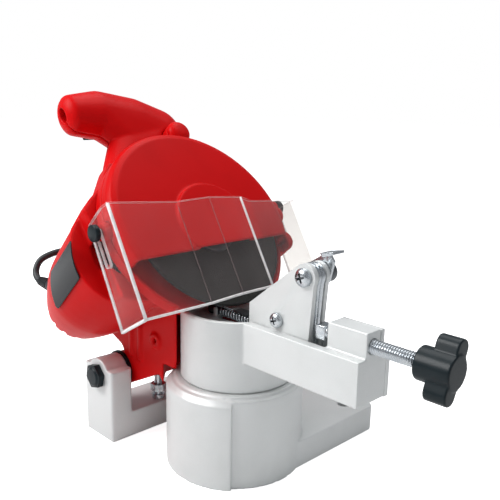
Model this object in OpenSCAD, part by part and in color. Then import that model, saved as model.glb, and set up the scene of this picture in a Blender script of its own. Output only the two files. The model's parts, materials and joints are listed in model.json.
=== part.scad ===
// Bench chain sharpener: cast base, swivel vise table, tilted grinding head.
// Origin: on the floor, under the swivel table's axis. +Z up.
// +X runs along the vise arm, -Y is the operator's side. Millimetres.

/* [Base] */
// Reach of the base plate to the left of the table axis
plate_left = 100.5; // [96:0.5:110]
// Reach of the base plate to the right of the table axis
plate_right = 40.2; // [38:0.2:44]
// Reach of the base plate behind the table axis
plate_back = 99.7; // [90:0.1:120]
// Thickness of the base plate
plate_t = 18.3; // [14:0.1:20]
// Radius of the round boss that carries the table
boss_r = 43; // [41:0.5:46]
// Height of the boss
boss_h = 59; // [52:0.5:62]
// Height of the angle scale's rim above the floor
scale_h = 53.7; // [45:0.1:55]
// How far the angle scale stands out of the boss
scale_out = 2.7; // [1.5:0.1:4]
// Width of the hinge ears along X
ear_w = 33.4; // [30:0.2:38]
// Thickness of each hinge ear along Y
ear_t = 16.9; // [12:0.1:20]
// Clear gap between the two ears
ear_gap = 70.4; // [66:0.2:76]
// Bench bolt hole diameter
bench_hole_d = 8.5; // [6:0.5:10]

/* [Hinge] */
// Distance of the head hinge to the left of the table axis
hinge_left = 83.4; // [80:0.2:86]
// Height of the head hinge
hinge_h = 44.7; // [42:0.1:47]
// Hinge bolt diameter
hinge_d = 10; // [8:0.5:12]
// Running clearance of the head on the hinge bolt, on radius
hinge_clear = 0.05; // [0.02:0.01:0.1]

/* [Swivel table] */
// Radius of the table
table_r = 36.4; // [34:0.2:38]
// Height of the table
table_h = 44.3; // [40:0.1:46]
// Gap between boss and table
table_gap = 0.3; // [0.2:0.1:0.6]
// Reach of the vise arm from the table axis
arm_len = 111.4; // [105:0.2:118]
// Front face of the arm, in front of the table axis
arm_front = 22.5; // [21:0.1:24]
// Back face of the arm, behind the table axis
arm_back = 1.6; // [1:0.1:3]
// Height of the arm
arm_h = 25.1; // [22:0.1:28]
// Length of the upper block at the arm's end
block_len = 25.7; // [23:0.1:28]
// Height of the upper block above the arm
block_h = 14.2; // [13:0.1:16]
// Table pivot bolt diameter
pivot_d = 12; // [10:0.5:14]
// Depth of the dish in the table's top
dish_depth = 6; // [4:0.5:7]

/* [Chain vise] */
// Front face of the vise stack, in front of the table axis
vise_front = 16.3; // [16:0.1:17]
// Thickness of the front plate
front_plate_t = 3; // [2.5:0.1:3.2]
// Thickness of the chain guide plate
guide_plate_t = 2.2; // [1.8:0.1:2.4]
// Thickness of the movable jaw plate
jaw_plate_t = 2.8; // [2.4:0.1:3]
// Thickness of the back plate
back_plate_t = 3; // [2.6:0.1:3.2]
// Gap between neighbouring plates
plate_gap = 0.3; // [0.2:0.05:0.4]
// Travel of the movable jaw
jaw_travel = 1.2; // [0.8:0.1:1.4]
// Height of the left shoulder of the plates
shoulder_z = 115; // [112:0.5:118]
// Height of the upper cross screw
cross_z = 138.5; // [134:0.5:142]
// Distance of the upper cross screw from the plates' right edge
cross_in = 4.5; // [3.5:0.5:6]
// Clear length between the plates and the upper block
wedge_room = 12.7; // [11:0.1:15]
// Clamp screw diameter
clamp_d = 8; // [7:0.5:9]
// Span of the clamp knob's two wings
knob_span = 33; // [28:0.5:36]

/* [Grinding head] */
// Tilt of the disc plane from vertical
head_tilt = 40; // [38:0.5:42]
// Disc centre to the left of the table axis
disc_left = 28.5; // [26:0.5:31]
// Height of the disc centre
disc_h = 147.7; // [146:0.1:152]
// Grinding disc diameter
disc_d = 108; // [100:1:110]
// Grinding disc thickness
disc_t = 3.2; // [2.5:0.1:4.5]
// Grinding disc bore
disc_bore = 23; // [20:0.5:25]
// Outer radius of the wheel guard
guard_r = 67; // [65:0.5:70]
// Wall of the plastic shells
shell_t = 2.5; // [2:0.1:3]
// Height of the guard's lower edge below the disc centre
guard_open = 15; // [12:0.5:20]
// Radius of the motor barrel at its rear shoulder
barrel_r = 35; // [33.5:0.5:37]
// Distance of the motor barrel's rear end behind the disc
barrel_end = 110; // [108:1:116]
// Thickness of the clear visor
visor_t = 2; // [1.5:0.1:2.5]
// Travel of the visor in its slots
visor_travel = 20; // [10:1:22]

/* [Drive] */
// Module of the gear pair
gear_m = 1.25; // [1.25]
// Teeth of the pinion
pinion_n = 32; // [32]
// Teeth of the large gear
wheel_n = 48; // [48]

/* [Mains lead] */
// Mains cord diameter
cord_d = 4.6; // [4.2:0.1:5.2]

/* [Hidden] */
$fn = 64;
eps = 0.01;
red = [0.80, 0.08, 0.08];
cast = [0.84, 0.85, 0.85];
black = [0.05, 0.07, 0.08];
zinc = [0.72, 0.74, 0.76];
// places worked out from the driving sizes
table_z = boss_h + table_gap;
table_top = table_z + table_h;
arm_z = table_top - arm_h;
ear_y = ear_gap / 2;
bracket_front = ear_y + ear_t;
disc_y = -1;
// vise stack, front to back
front_y = -vise_front;
guide_y = front_y + front_plate_t + plate_gap;
jaw_y = guide_y + guide_plate_t + plate_gap;
back_y = jaw_y + jaw_plate_t + jaw_travel + plate_gap;
stack_back = back_y + back_plate_t;
slot_z = arm_z + 8;
plate_left_x = 26.8;
plate_right_x = arm_len - block_len - wedge_room;
cross_x = plate_right_x - cross_in;
// clamp screw
clamp_y = -10.5;
clamp_z = 109.7;
wedge_left = plate_right_x + 3;
// head frame: x up in the disc plane, y to the operator, z out along the axis
gear_c = gear_m * (pinion_n + wheel_n) / 2;
motor_up = 4;
motor_side = sqrt(gear_c * gear_c - motor_up * motor_up);
motor_room_r = 28.6;
// the barrel's outside stands a little off the motor's axis
barrel_up = motor_up - 1;
barrel_side = motor_side + 0.6;
guard_up = 6.3;
guard_side = 2.4;
guard_face = 8;
part_z = -4;
case_front = -9.5;
case_split = -12.5;
grip_split = -22;
spindle_r = 6;
flange_r = 17;
pinion_r = gear_m * pinion_n / 2;
wheel_r = gear_m * wheel_n / 2;
wheel_z = -20.5;
wheel_w = 6.5;
shell_gap = 0.3;
// grip
grip_z = -22;
grip_end = 110.5;
grip_bore = 9;
// visor frame: m out of the panel, u up along it
visor_tilt = 30.4;
visor_m = 13;
visor_bulge = 7;
visor_side = 75.8;
screw_m = -6.2;
screw_u = 10.7;

// ---------------------------------------------------------------- helpers

// head frame
module in_head() {
  translate([-disc_left, disc_y, disc_h])
    rotate([0, 90 - head_tilt, 0])
      rotate([0, 0, 180])
        children();
}

// visor frame: x is m, y stays world Y, z is u
module in_visor() {
  translate([-disc_left, disc_y, disc_h])
    rotate([0, -visor_tilt, 0])
      children();
}

// cylinder along Y from y0 to y1
module y_rod(x, z, y0, y1, r) {
  translate([x, y0, z])
    rotate([-90, 0, 0])
      cylinder(r = r, h = y1 - y0);
}

// cylinder along X from x0 to x1
module x_rod(y, z, x0, x1, r) {
  translate([x0, y, z])
    rotate([0, 90, 0])
      cylinder(r = r, h = x1 - x0);
}

// X-Z polygon carried along Y from y0 to y1
module xz_plate(points, y0, y1) {
  translate([0, y1, 0])
    rotate([90, 0, 0])
      linear_extrude(height = y1 - y0)
        polygon(points);
}

// box with upright edges rounded
module round_box(x0, x1, y0, y1, z0, z1, r) {
  translate([x0 + r, y0, z0]) cube([x1 - x0 - 2 * r, y1 - y0, z1 - z0]);
  translate([x0, y0 + r, z0]) cube([x1 - x0, y1 - y0 - 2 * r, z1 - z0]);
  for (x = [x0 + r, x1 - r])
    for (y = [y0 + r, y1 - r])
      translate([x, y, z0]) cylinder(r = r, h = z1 - z0);
}

// room the head keeps free round the table and its boss
module table_room() {
  translate([0, 0, -1]) cylinder(r = boss_r + scale_out + 2.5, h = boss_h + 4);
  translate([0, 0, 0]) cylinder(r = table_r + 2.5, h = table_top + 1.2);
}

// ---------------------------------------------------------------- base

module bench_holes() {
  for (p = bench_points)
    translate([p[0], p[1], -1]) cylinder(d = bench_hole_d, h = plate_t + 20);
}
hole_x_left = -plate_left + 18;
hole_x_right = plate_right - 16;
hole_y_back = plate_back - 16;
bench_points = [
  [hole_x_left, hole_y_back],
  [hole_x_right, hole_y_back]
];

module ear(y0) {
  round_box(-plate_left, -plate_left + ear_w, y0, y0 + ear_t, 0, hinge_h + 5.9, 2);
  y_rod(-hinge_left, hinge_h, y0, y0 + ear_t, 12);
}

module base_outer() {
  cylinder(r = boss_r, h = boss_h - 2);
  cylinder(r = boss_r - 3, h = boss_h);
  // angle scale sector
  rotate([0, 0, -141])
    rotate_extrude(angle = 94)
      polygon([[boss_r - 6, 0], [boss_r + scale_out, 0], [boss_r + scale_out, scale_h],
               [boss_r - 1, scale_h + 3.6], [boss_r - 6, scale_h + 3.6]]);
  round_box(-plate_left, plate_right, 8, plate_back, 0, plate_t, 6);
  round_box(-plate_left, -plate_left + ear_w, -ear_y - 6, ear_y + 6, 0, plate_t, 2);
  ear(-bracket_front);
  ear(ear_y);
}

module scale_marks() {
  // short engraved lines on the scale's chamfer, every five degrees
  for (a = [-125 : 5 : -55])
    rotate([0, 0, a])
      translate([boss_r + 0.6, -0.25, scale_h - 0.6]) cube([3, 0.5, 4]);
}

module base_casting() {
  color(cast) difference() {
    base_outer();
    scale_marks();
    // hollow boss, open to the floor for the lock knob
    translate([0, 0, -1]) cylinder(r = boss_r - 7, h = boss_h - 11);
    translate([0, 0, -1]) cylinder(d = pivot_d + 0.1, h = boss_h + 5);
    bench_holes();
    y_rod(-hinge_left, hinge_h, -bracket_front - 1, bracket_front + 1, hinge_d / 2);
  }
}

// ---------------------------------------------------------------- swivel table

head_z = table_top - dish_depth - 8;

module table_solid() {
  translate([0, 0, table_z]) cylinder(r = table_r, h = table_h);
  // arm
  translate([0, -arm_front, arm_z]) cube([arm_len, arm_front + arm_back, arm_h]);
  // upper block
  translate([arm_len - block_len, -vise_front, arm_z]) cube([block_len, vise_front - 4.6, arm_h + block_h]);
}

module swivel_table() {
  color(cast) difference() {
    table_solid();
    // dished top with a lug left standing for the stop screw
    difference() {
      translate([0, 0, table_top - dish_depth])
        cylinder(r1 = table_r - 10, r2 = table_r - 3, h = dish_depth + 0.1);
      translate([-8.8, stop_y - 4.5, table_top - dish_depth - 1]) cube([3, 9, dish_depth + 0.5]);
    }
    // slot that holds the vise stack
    translate([plate_left_x - 6, front_y - 0.1, slot_z])
      cube([arm_len - block_len - plate_left_x + 6, stack_back - front_y + 0.2, arm_h]);
    // channel of the stop screw's spring through the table's top
    x_rod(stop_y, stop_z, -5.8, 60, 4.2);
    x_rod(stop_y, stop_z, -24, 0, 1.95);
    x_rod(stop_y, stop_z, -26, -8.7, 4.2);
    // hollow underside of the arm
    translate([table_r + 6, -arm_front + 4, arm_z - 1]) cube([arm_len - table_r - 12, arm_front + arm_back - 8, 6]);
    // channel of the wedge and thread of the clamp screw
    translate([wedge_left - 0.3, clamp_y - 4.3, clamp_z - 4.3])
      cube([arm_len - block_len - wedge_left + 0.6, 8.6, 8.6]);
    x_rod(clamp_y, clamp_z, arm_len - block_len, arm_len + 1, clamp_d / 2 + 0.05);
    // counterbore and bore for the pivot bolt
    translate([0, 0, head_z]) cylinder(r = pivot_d * 1.1, h = table_h);
    translate([0, 0, table_z - 1]) cylinder(d = pivot_d, h = table_h - dish_depth);
  }
}

module pivot_bolt() {
  color(zinc) {
    translate([0, 0, boss_h - 32]) cylinder(d = pivot_d, h = head_z + 0.2 - boss_h + 32);
    translate([0, 0, head_z + 0.1]) cylinder(d = pivot_d * 1.75, h = 6, $fn = 6);
  }
}

washer_top = boss_h - 12 - 0.3;
lock_knob_d = boss_r - 1;

module pivot_washer() {
  color(zinc) difference() {
    translate([0, 0, washer_top - 2.5]) cylinder(d = pivot_d * 2, h = 2.5);
    translate([0, 0, washer_top - 4]) cylinder(d = pivot_d + 0.6, h = 6);
  }
}

module star_shape(d, h, lobes) {
  cylinder(d = d * 0.72, h = h);
  for (i = [0 : lobes - 1])
    rotate([0, 0, i * 360 / lobes])
      translate([d * 0.36, 0, 0]) cylinder(d = d * 0.28, h = h);
}

module lock_knob() {
  color(black) difference() {
    union() {
      translate([0, 0, washer_top - 8.8]) cylinder(d = pivot_d * 1.8, h = 6);
      translate([0, 0, washer_top - 26.8]) star_shape(lock_knob_d, 18.1, 6);
    }
    translate([0, 0, washer_top - 23]) cylinder(d = pivot_d + 0.1, h = 30);
  }
}

// ---------------------------------------------------------------- chain vise

// outline shared by the plates of the stack; the inner ones start further right
function slope_z(x) = shoulder_z + (x - plate_left_x) * (cross_z + 5.7 - shoulder_z) / (cross_x - 4.9 - plate_left_x);
function plate_outline(x0, drop) = [
  [x0, slot_z + 0.3], [plate_right_x - 1.5, slot_z + 0.3], [plate_right_x + 2.4, cross_z],
  [cross_x, cross_z + 6], [cross_x - 4.9, cross_z + 5.7 - drop], [x0, slope_z(x0) - drop]
];

module stack_plate(y0, t, x0, drop) {
  difference() {
    union() {
      xz_plate(plate_outline(x0, drop), y0, y0 + t);
      y_rod(cross_x, cross_z, y0, y0 + t, 7.5);
    }
    y_rod(cross_x, cross_z, y0 - 1, y0 + t + 1, 2.6);
  }
}

inner_left_x = 43;
low_x = 49.3;
low_z = 109.7;
stop_y = -8.8;
stop_z = 100.6;

module vise_front_plate() {
  color(cast) difference() {
    stack_plate(front_y, front_plate_t, plate_left_x, 0);
    y_rod(low_x, low_z, front_y - 1, front_y + front_plate_t + 1, 2.6);
  }
}

module chain_guide_plate() {
  color(zinc) difference() {
    stack_plate(guide_y, guide_plate_t, inner_left_x, 1.5);
    y_rod(low_x, low_z, guide_y - 1, guide_y + guide_plate_t + 1, 2.4);
  }
}

module jaw_plate() {
  color(zinc) difference() {
    stack_plate(jaw_y, jaw_plate_t, inner_left_x, 1.5);
    y_rod(cross_x, cross_z, jaw_y - 1, jaw_y + jaw_plate_t + 1, 2.65);
  }
}

module vise_back_plate() {
  color(cast) stack_plate(back_y, back_plate_t, inner_left_x, 3);
}

module pan_head(x, z, y, d) {
  // round head towards the operator with a cross recess
  translate([x, y, z]) rotate([90, 0, 0]) difference() {
    rotate_extrude()
      polygon([[0, 0], [d / 2, 0], [d / 2, d * 0.16], [d * 0.42, d * 0.27], [d * 0.25, d * 0.35], [0, d * 0.37]]);
    for (a = [0, 90])
      rotate([0, 0, a + 20]) translate([-d * 0.26, -d * 0.06, d * 0.18]) cube([d * 0.52, d * 0.12, d]);
  }
}

module cross_screw() {
  color(zinc) {
    pan_head(cross_x, cross_z, front_y - 0.05, 10.6);
    y_rod(cross_x, cross_z, front_y - 0.1, stack_back + 9.5, 2.55);
  }
}

module cross_nut() {
  color(black) difference() {
    y_rod(cross_x, cross_z, stack_back + 2.3, stack_back + 8.5, 5.6);
    y_rod(cross_x, cross_z, stack_back, stack_back + 10, 2.55);
  }
}

module pan_screw() {
  color(zinc) {
    pan_head(low_x, low_z, front_y - 0.05, 8.8);
    y_rod(low_x, low_z, front_y - 0.1, guide_y + guide_plate_t - 0.1, 2.35);
  }
}

module chain_stop_pawl() {
  y0 = stack_back + 0.3;
  color(zinc) difference() {
    union() {
      xz_plate([[cross_x - 8, cross_z + 5], [cross_x - 5, cross_z - 5], [cross_x + 6, cross_z - 4],
                [cross_x + 9, cross_z + 8], [cross_x + 5, cross_z + 13.5]], y0, y0 + 1.6);
      y_rod(cross_x, cross_z, y0, y0 + 1.6, 6.5);
      // bent flap that catches the chain
      xz_plate([[cross_x + 5, cross_z + 13.5], [cross_x + 7.5, cross_z + 11.5],
                [cross_x + 14.5, cross_z + 14], [cross_x + 14.2, cross_z + 15.4]], y0 - 8, y0 + 1.6);
    }
    y_rod(cross_x, cross_z, y0 - 1, y0 + 4, 2.6);
  }
}

module stop_slider() {
  // threaded block in the slot, with a tongue over the spring
  color(zinc) difference() {
    union() {
      translate([slider_x, stop_y - 3.6, slot_z + 0.4]) cube([8, 7.2, stop_z + 8.8 - slot_z - 0.4]);
      translate([slider_x - 19, stop_y - 3.6, stop_z + 3.5]) cube([20, 7.2, 0.8]);
    }
    x_rod(stop_y, stop_z, slider_x - 1, slider_x + 9, 1.95);
  }
}
slider_x = 27.5;

module stop_screw() {
  color(black) {
    x_rod(stop_y, stop_z, -14.9, -8.9, 3.6);
    x_rod(stop_y, stop_z, -9, 41, 1.9);
  }
}

spring_d = 6.4;
spring_wire = 1.1;
spring_turns = 13;
spring_x0 = -4.9;
spring_x1 = 26.6;
spring_pitch = (spring_x1 - spring_x0) / spring_turns;
echo("stop spring: least gap between curls", spring_pitch - spring_wire);

function helix_ring(i, n, r, x0, x1, wire) =
  let (a = i * 360 / 8, x = x0 + (x1 - x0) * i / n)
  [for (k = [0 : 5])
    let (b = k * 60, q = r + wire / 2 * cos(b))
    [x + wire / 2 * sin(b), q * cos(a), q * sin(a)]];

module helix_tube(r, x0, x1, wire, turns) {
  n = turns * 8;
  pts = [for (i = [0 : n]) each helix_ring(i, n, r, x0, x1, wire)];
  sides = [for (i = [0 : n - 1]) for (k = [0 : 5]) each [
    [i * 6 + k, i * 6 + (k + 1) % 6, (i + 1) * 6 + (k + 1) % 6],
    [i * 6 + k, (i + 1) * 6 + (k + 1) % 6, (i + 1) * 6 + k]]];
  caps = concat([[for (k = [0 : 5]) 5 - k]], [[for (k = [0 : 5]) n * 6 + k]]);
  polyhedron(points = pts, faces = concat(sides, caps), convexity = 10);
}

module stop_spring() {
  color(zinc)
    translate([0, stop_y, stop_z])
      helix_tube((spring_d - spring_wire) / 2, spring_x0, spring_x1, spring_wire, spring_turns);
}

module clamp_wedge() {
  // bar between the screw's tip and the jaw, bevelled where it meets the plates
  color(zinc) difference() {
    translate([wedge_left, clamp_y - 4, clamp_z - 4]) cube([arm_len - block_len - wedge_left - 3.2, 8, 8]);
    translate([wedge_left - 3, clamp_y - 4.1, clamp_z - 5]) rotate([0, 0, 20]) cube([4, 14, 10]);
  }
}

module clamp_screw() {
  color(zinc) {
    x_rod(clamp_y, clamp_z, arm_len - block_len - 3.1, arm_len + 32.6, clamp_d / 2);
  }
}

module clamp_knob() {
  // hub with two wings
  x0 = arm_len + 27.8;
  color(black) difference() {
    union() {
      x_rod(clamp_y, clamp_z, x0, x0 + 19.6, 8.8);
      translate([x0 + 7, clamp_y, clamp_z]) rotate([0, 90, 0]) rotate([0, 0, -22]) {
        for (s = [-1, 1])
          translate([s * (knob_span / 2 - 5), 0, 0]) cylinder(r = 5, h = 12);
        translate([-knob_span / 2 + 5, -5, 0]) cube([knob_span - 10, 10, 12]);
      }
    }
    x_rod(clamp_y, clamp_z, x0 - 1, x0 + 5.1, clamp_d / 2 + 0.02);
  }
}

module clamp_lever() {
  // plate behind the upper block that steps out round the back of the arm
  x0 = arm_len - block_len - 1;
  color(cast) {
    translate([x0, -4.3, table_top + 0.3]) cube([arm_len - x0, 3.6, block_h - 0.8]);
    translate([x0, -4.3, table_top + 0.3]) cube([arm_len - x0, arm_back + 8.3, 3]);
    translate([x0, arm_back + 0.4, arm_z - 0.5]) cube([arm_len - x0, 3.6, arm_h + 3.8]);
  }
}

// ---------------------------------------------------------------- hinge

cap_h = 4.2;

module hinge_bolt() {
  color(zinc)
    y_rod(-hinge_left, hinge_h, -bracket_front - cap_h + 0.5, bracket_front + cap_h - 0.5, hinge_d / 2 - 0.02);
}

module hinge_caps() {
  color(black)
    for (s = [-1, 1])
      difference() {
        translate([-hinge_left, s * (bracket_front + 0.1), hinge_h])
          rotate([-90 * s, 0, 0]) rotate([0, 0, 15]) {
            cylinder(d = 17.5, h = cap_h, $fn = 6);
            translate([0, 0, cap_h - 0.1]) cylinder(d1 = 14, d2 = 11, h = 1.2);
          }
        y_rod(-hinge_left, hinge_h, -bracket_front - cap_h + 0.3, bracket_front + cap_h - 0.3, hinge_d / 2);
      }
}

arm_half = ear_y - 2.4;

module hinge_washers() {
  color(black)
    for (s = [-1, 1])
      difference() {
        translate([-hinge_left, s * (arm_half + 0.2) - (s < 0 ? 2 : 0), hinge_h])
          rotate([-90, 0, 0]) cylinder(r = 13, h = 2);
        y_rod(-hinge_left, hinge_h, -60, 60, hinge_d / 2 + 0.05);
      }
}

// ---------------------------------------------------------------- head shells

screw_posts = [[80, -19], [4, -64.5], [-17, -60.5], [29, 60]];
post_r = [8.5, 7.5, 7.5, 4.5];

// round-topped post that stands on the guard's rim
module domed_post(r, z0, z1) {
  rotate_extrude()
    polygon([[0, z0], [r, z0], [r, z1 - 4], [r - 0.6, z1 - 2.6], [r - 2, z1 - 1.1], [r - 4.5, z1 - 0.2], [0, z1]]);
}

// neck that joins the top post to the guard's rim; it ends inside the post's round
neck_in = 0.4;
neck_h = 1.7;
module top_neck(grow, z0, z1) {
  translate([0, 0, z0]) linear_extrude(height = z1 - z0)
    hull() {
      translate(screw_posts[0]) circle(r = post_r[0] + grow);
      translate([72, -16.8]) circle(r = post_r[0] + grow - 0.5);
    }
}

module guard_drum(r, z0, z1, edge) {
  translate([guard_up, guard_side, 0])
    rotate_extrude($fn = 128)
      polygon([[0, z0], [r, z0], [r, z1 - edge], [r - edge * 0.3, z1 - edge * 0.3],
               [r - edge, z1], [0, z1]]);
}

module guard_cover() {
  color(red) in_head() difference() {
    union() {
      guard_drum(guard_r, part_z, guard_face, 5);
      translate([1, -3, guard_face - 3]) cylinder(r = 29, h = 5);
      for (i = [0 : 2])
        translate(screw_posts[i]) domed_post(post_r[i], part_z, i == 0 ? 2 : 5);
      top_neck(-neck_in, part_z, part_z + neck_h);
    }
    // wheel room, with one inner post left standing
    difference() {
      translate([guard_up, guard_side, part_z - 1])
        cylinder(r = guard_r - shell_t, h = guard_face - part_z + 1 - shell_t, $fn = 128);
      translate([screw_posts[3][0], screw_posts[3][1], part_z]) cylinder(r = post_r[3], h = 20);
    }
    translate([1, -3, guard_face - 4]) cylinder(r = 26.5, h = 3.9);
    // open below, straight lower edge that steps down on the operator's side
    translate([-guard_open - 100, -60, part_z - 1]) cube([100, 140, 30]);
    translate([-guard_open - 109, -90, part_z - 1]) cube([100, 80, 30]);
    for (i = [0 : 3])
      translate([screw_posts[i][0], screw_posts[i][1], part_z - 1]) cylinder(r = 1.6, h = i == 0 ? 5 : 7);
    // room for the visor bosses of the gear case
    for (s = [-1, 1])
      translate([boss_up, s * 55, boss_out]) rotate([-90 * s, 0, 0]) cylinder(r = 5.5 + shell_gap, h = 40);
  }
}

// visor boss on the rim, s = 1 on the operator's side
boss_dx = screw_m * cos(visor_tilt) - screw_u * sin(visor_tilt);
boss_dz = screw_m * sin(visor_tilt) + screw_u * cos(visor_tilt);
boss_up = -boss_dx * sin(head_tilt) + boss_dz * cos(head_tilt);
boss_out = boss_dx * cos(head_tilt) + boss_dz * sin(head_tilt);
module visor_boss(s) {
  reach = visor_side - visor_t - shell_gap - (s > 0 ? 0 : 1);
  translate([boss_up, s * 61.5, boss_out]) rotate([-90 * s, 0, 0]) cylinder(r = 5.5, h = reach - 61.5);
}

// back wall of the wheel room, with the spindle's front bearing
module gear_case() {
  color(red) in_head() difference() {
    union() {
      guard_drum(guard_r, case_split + shell_gap, part_z - shell_gap, 0.1);
      for (i = [0 : 2])
        translate([screw_posts[i][0], screw_posts[i][1], case_split + shell_gap])
          cylinder(r = post_r[i], h = part_z - shell_gap * 2 - case_split);
      top_neck(-neck_in, case_split + shell_gap, part_z - shell_gap);
      // bosses that carry the visor's thumb screws
      visor_boss(1);
      visor_boss(-1);
    }
    difference() {
      translate([guard_up, guard_side, case_front]) cylinder(r = guard_r - shell_t, h = 20, $fn = 128);
      translate([screw_posts[3][0], screw_posts[3][1], case_front - 5]) cylinder(r = post_r[3], h = 5 - case_front + part_z - shell_gap);
      visor_boss(1);
      visor_boss(-1);
    }
    for (s = [-1, 1])
      translate([boss_up, 0, boss_out]) rotate([90 * s, 0, 0]) cylinder(r = 2.02, h = 100);
    translate([-guard_open - 129.5, -90, case_front - 10]) cube([100, 180, 40]);
    translate([0, 0, -40]) cylinder(r = bearing_r + 0.05, h = 60);
    for (p = screw_posts)
      translate([p[0], p[1], -20]) cylinder(r = 1.6, h = 30);
  }
}

// egg-like lump of the grip
module lump(at, semi) {
  translate(at) scale([semi[0] / 10, semi[1] / 10, semi[2] / 10]) sphere(r = 10, $fn = 32);
}

module grip_body() {
  // end lobe
  hull() {
    lump([grip_end, 45, grip_z], [14.5, 7, 12.5]);
    lump([110, 24, grip_z], [18.5, 14, 14.5]);
  }
  // bowed middle
  hull() {
    lump([110, 24, grip_z], [18.5, 14, 14.5]);
    lump([104, -2, grip_z], [19, 14, 14]);
    lump([94, -20, grip_z], [20, 17, 13]);
    lump([88, 8, grip_z], [14, 15, 11]);
  }
  // root that runs into the gear room
  hull() {
    lump([94, -20, grip_z], [20, 17, 13]);
    lump([88, 8, grip_z], [14, 15, 11]);
    lump([62, -20, grip_z], [14, 16, 9]);
    lump([62, 28, grip_z], [12, 12, 9]);
  }
}

// outline of the gear room and motor seen along the disc's axis
module case_outline(inset) {
  circle(r = 49 - inset, $fn = 96);
  translate([barrel_up, barrel_side]) circle(r = barrel_r + 0.9 - inset, $fn = 96);
  polygon([[65.6 - inset, 26], [65 - inset, 41], [48 - inset, 54], [40 - inset, 65], [28 - inset, 77 - inset],
           [0, 80 - inset], [-30 + inset, 56], [-40 + inset, 20], [0, -40 + inset], [48 - inset, -12]]);
}

// barrel in half section: taper, round shoulder and domed rear end
module barrel_profile(r, z0, z1) {
  polygon(concat([[0, z0]],
    smooth([[r + 2, z0], [r + 0.2, z0 - 28], [r - 1.7, z1 + 45], [r - 4.6, z1 + 33], [r - 8.9, z1 + 20],
            [r - 13.4, z1 + 9], [r - 18.6, z1 + 3.2], [r - 26, z1 + 0.5]], 3),
    [[0, z1]]));
}

// room for the stator, then for the brushes, down to the rear bearing
module motor_room_profile() {
  polygon([[0, gear_room - 4], [motor_room_r, gear_room - 4], [motor_room_r, -72],
           [motor_room_r - 3.8, -80], [motor_room_r - 6.6, -89.5], [12, -98], [0, -98]]);
}

module arm_block() {
  xz_plate([[-hinge_left + 2, hinge_h - 11.8], [-70, hinge_h - 6.5], [-41, 53], [-35, 47], [-24, 60],
            [-14, 90], [-22, 112], [-50, 128], [-100, 90], [-97, 67.5], [-89.7, 64.9], [-83.6, 62.5],
            [-80.7, 58.8], [-hinge_left + 4, hinge_h + 11]],
           -arm_half, arm_half);
  y_rod(-hinge_left, hinge_h, -arm_half, arm_half, 12);
}

// solid housing behind the split: gear room, barrel and hinge arm
module housing_body() {
  difference() {
    union() {
      in_head() {
        translate([barrel_up, barrel_side, 0]) rotate_extrude($fn = 96)
          barrel_profile(barrel_r, case_split, -barrel_end);
        translate([0, 0, gear_room - 4.5]) linear_extrude(height = case_split - gear_room + 4.5) case_outline(0);
        guard_drum(guard_r - 5, case_split - 5, case_split, 0.1);
        for (i = [0 : 2])
          translate([screw_posts[i][0], screw_posts[i][1], case_split - 6]) cylinder(r = post_r[i] - 0.5, h = 6);
      }
      arm_block();
      // two ribs and a screw boss on the arm's operator side
      for (x = [-72, -62])
        translate([x, -arm_half - 1.6, 58]) cube([3, 3, 24]);
      y_rod(-43, 76, -arm_half - 1.6, -arm_half + 2, 5);
    }
    in_head() translate([-150, -150, case_split]) cube([300, 400, 200]);
  }
}

// front half of the grip, which stands forward beside the guard
module grip_front() {
  difference() {
    intersection() {
      grip_body();
      translate([-100, -100, grip_split]) cube([300, 300, 60]);
    }
    translate([guard_up, guard_side, case_split]) cylinder(r = guard_r + shell_gap, h = 60, $fn = 128);
    top_neck(shell_gap, case_split, case_split + 60);
  }
}

// main housing: gear room, motor barrel, front of the grip, hinge arm
module motor_shell() {
  color(red) difference() {
    union() {
      housing_body();
      in_head() grip_front();
    }
    // clear of the visor's side flap
    in_head() translate([-70, visor_side - visor_t - 2.3, -22]) cube([140, 40, 60]);
    in_head() {
      // motor room, rear bearing seat, gear room and the bore between them
      translate([motor_up, motor_side, 0]) rotate_extrude($fn = 96) motor_room_profile();
      translate([motor_up, motor_side, -104]) cylinder(r = 8, h = 20);
      translate([motor_up, motor_side, gear_room - 5]) cylinder(r = bearing_r + 0.05, h = 12);
      translate([0, 0, gear_room]) cylinder(r = wheel_r + 2.4, h = 60);
      translate([motor_up, motor_side, gear_room]) cylinder(r = pinion_r + 3, h = 60);
      translate([0, 0, gear_room - 3.5]) cylinder(r = bearing_r + 0.05, h = 12);
      for (p = screw_posts) {
        translate([p[0], p[1], case_split - 7]) cylinder(r = 1.6, h = 30);
        translate([p[0], p[1], case_split - 28]) cylinder(r = 3.6, h = 22);
      }
      // finger hole in the grip's end, grip hollow
      translate([grip_end, 45, grip_z]) rotate([-90, 0, 0]) scale([1, 0.6, 1]) cylinder(r = 5.5, h = 20);
      translate([109, -6, grip_z]) rotate([-90, 0, 0]) cylinder(r = grip_bore, h = 42);
    }
    // hollow of the arm, open to the back
    translate([-78, -arm_half + 4, 66]) rotate([0, -30, 0]) cube([30, arm_half * 2 - 8, 26]);
    // hinge bore
    y_rod(-hinge_left, hinge_h, -60, 60, hinge_d / 2 - 0.02 + hinge_clear);
    y_rod(-43, 76, -arm_half - 3, -arm_half + 8, 1.7);
    // stop bolt thread
    translate([stop_bolt_x, stop_bolt_y, 0]) cylinder(d = 6.1, h = 62);
    // cord entry
    x_rod(exit_y, exit_z, exit_x - 30, exit_x, relief_r + 0.05);
    // vent slots round the rear end
    in_head() translate([barrel_up, barrel_side, -barrel_end + 8])
      for (a = [80 : 25 : 330])
        rotate([0, 0, a]) translate([18, -1.4, -20]) cube([20, 2.8, 26]);
    table_room();
    base_room();
  }
}

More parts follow.
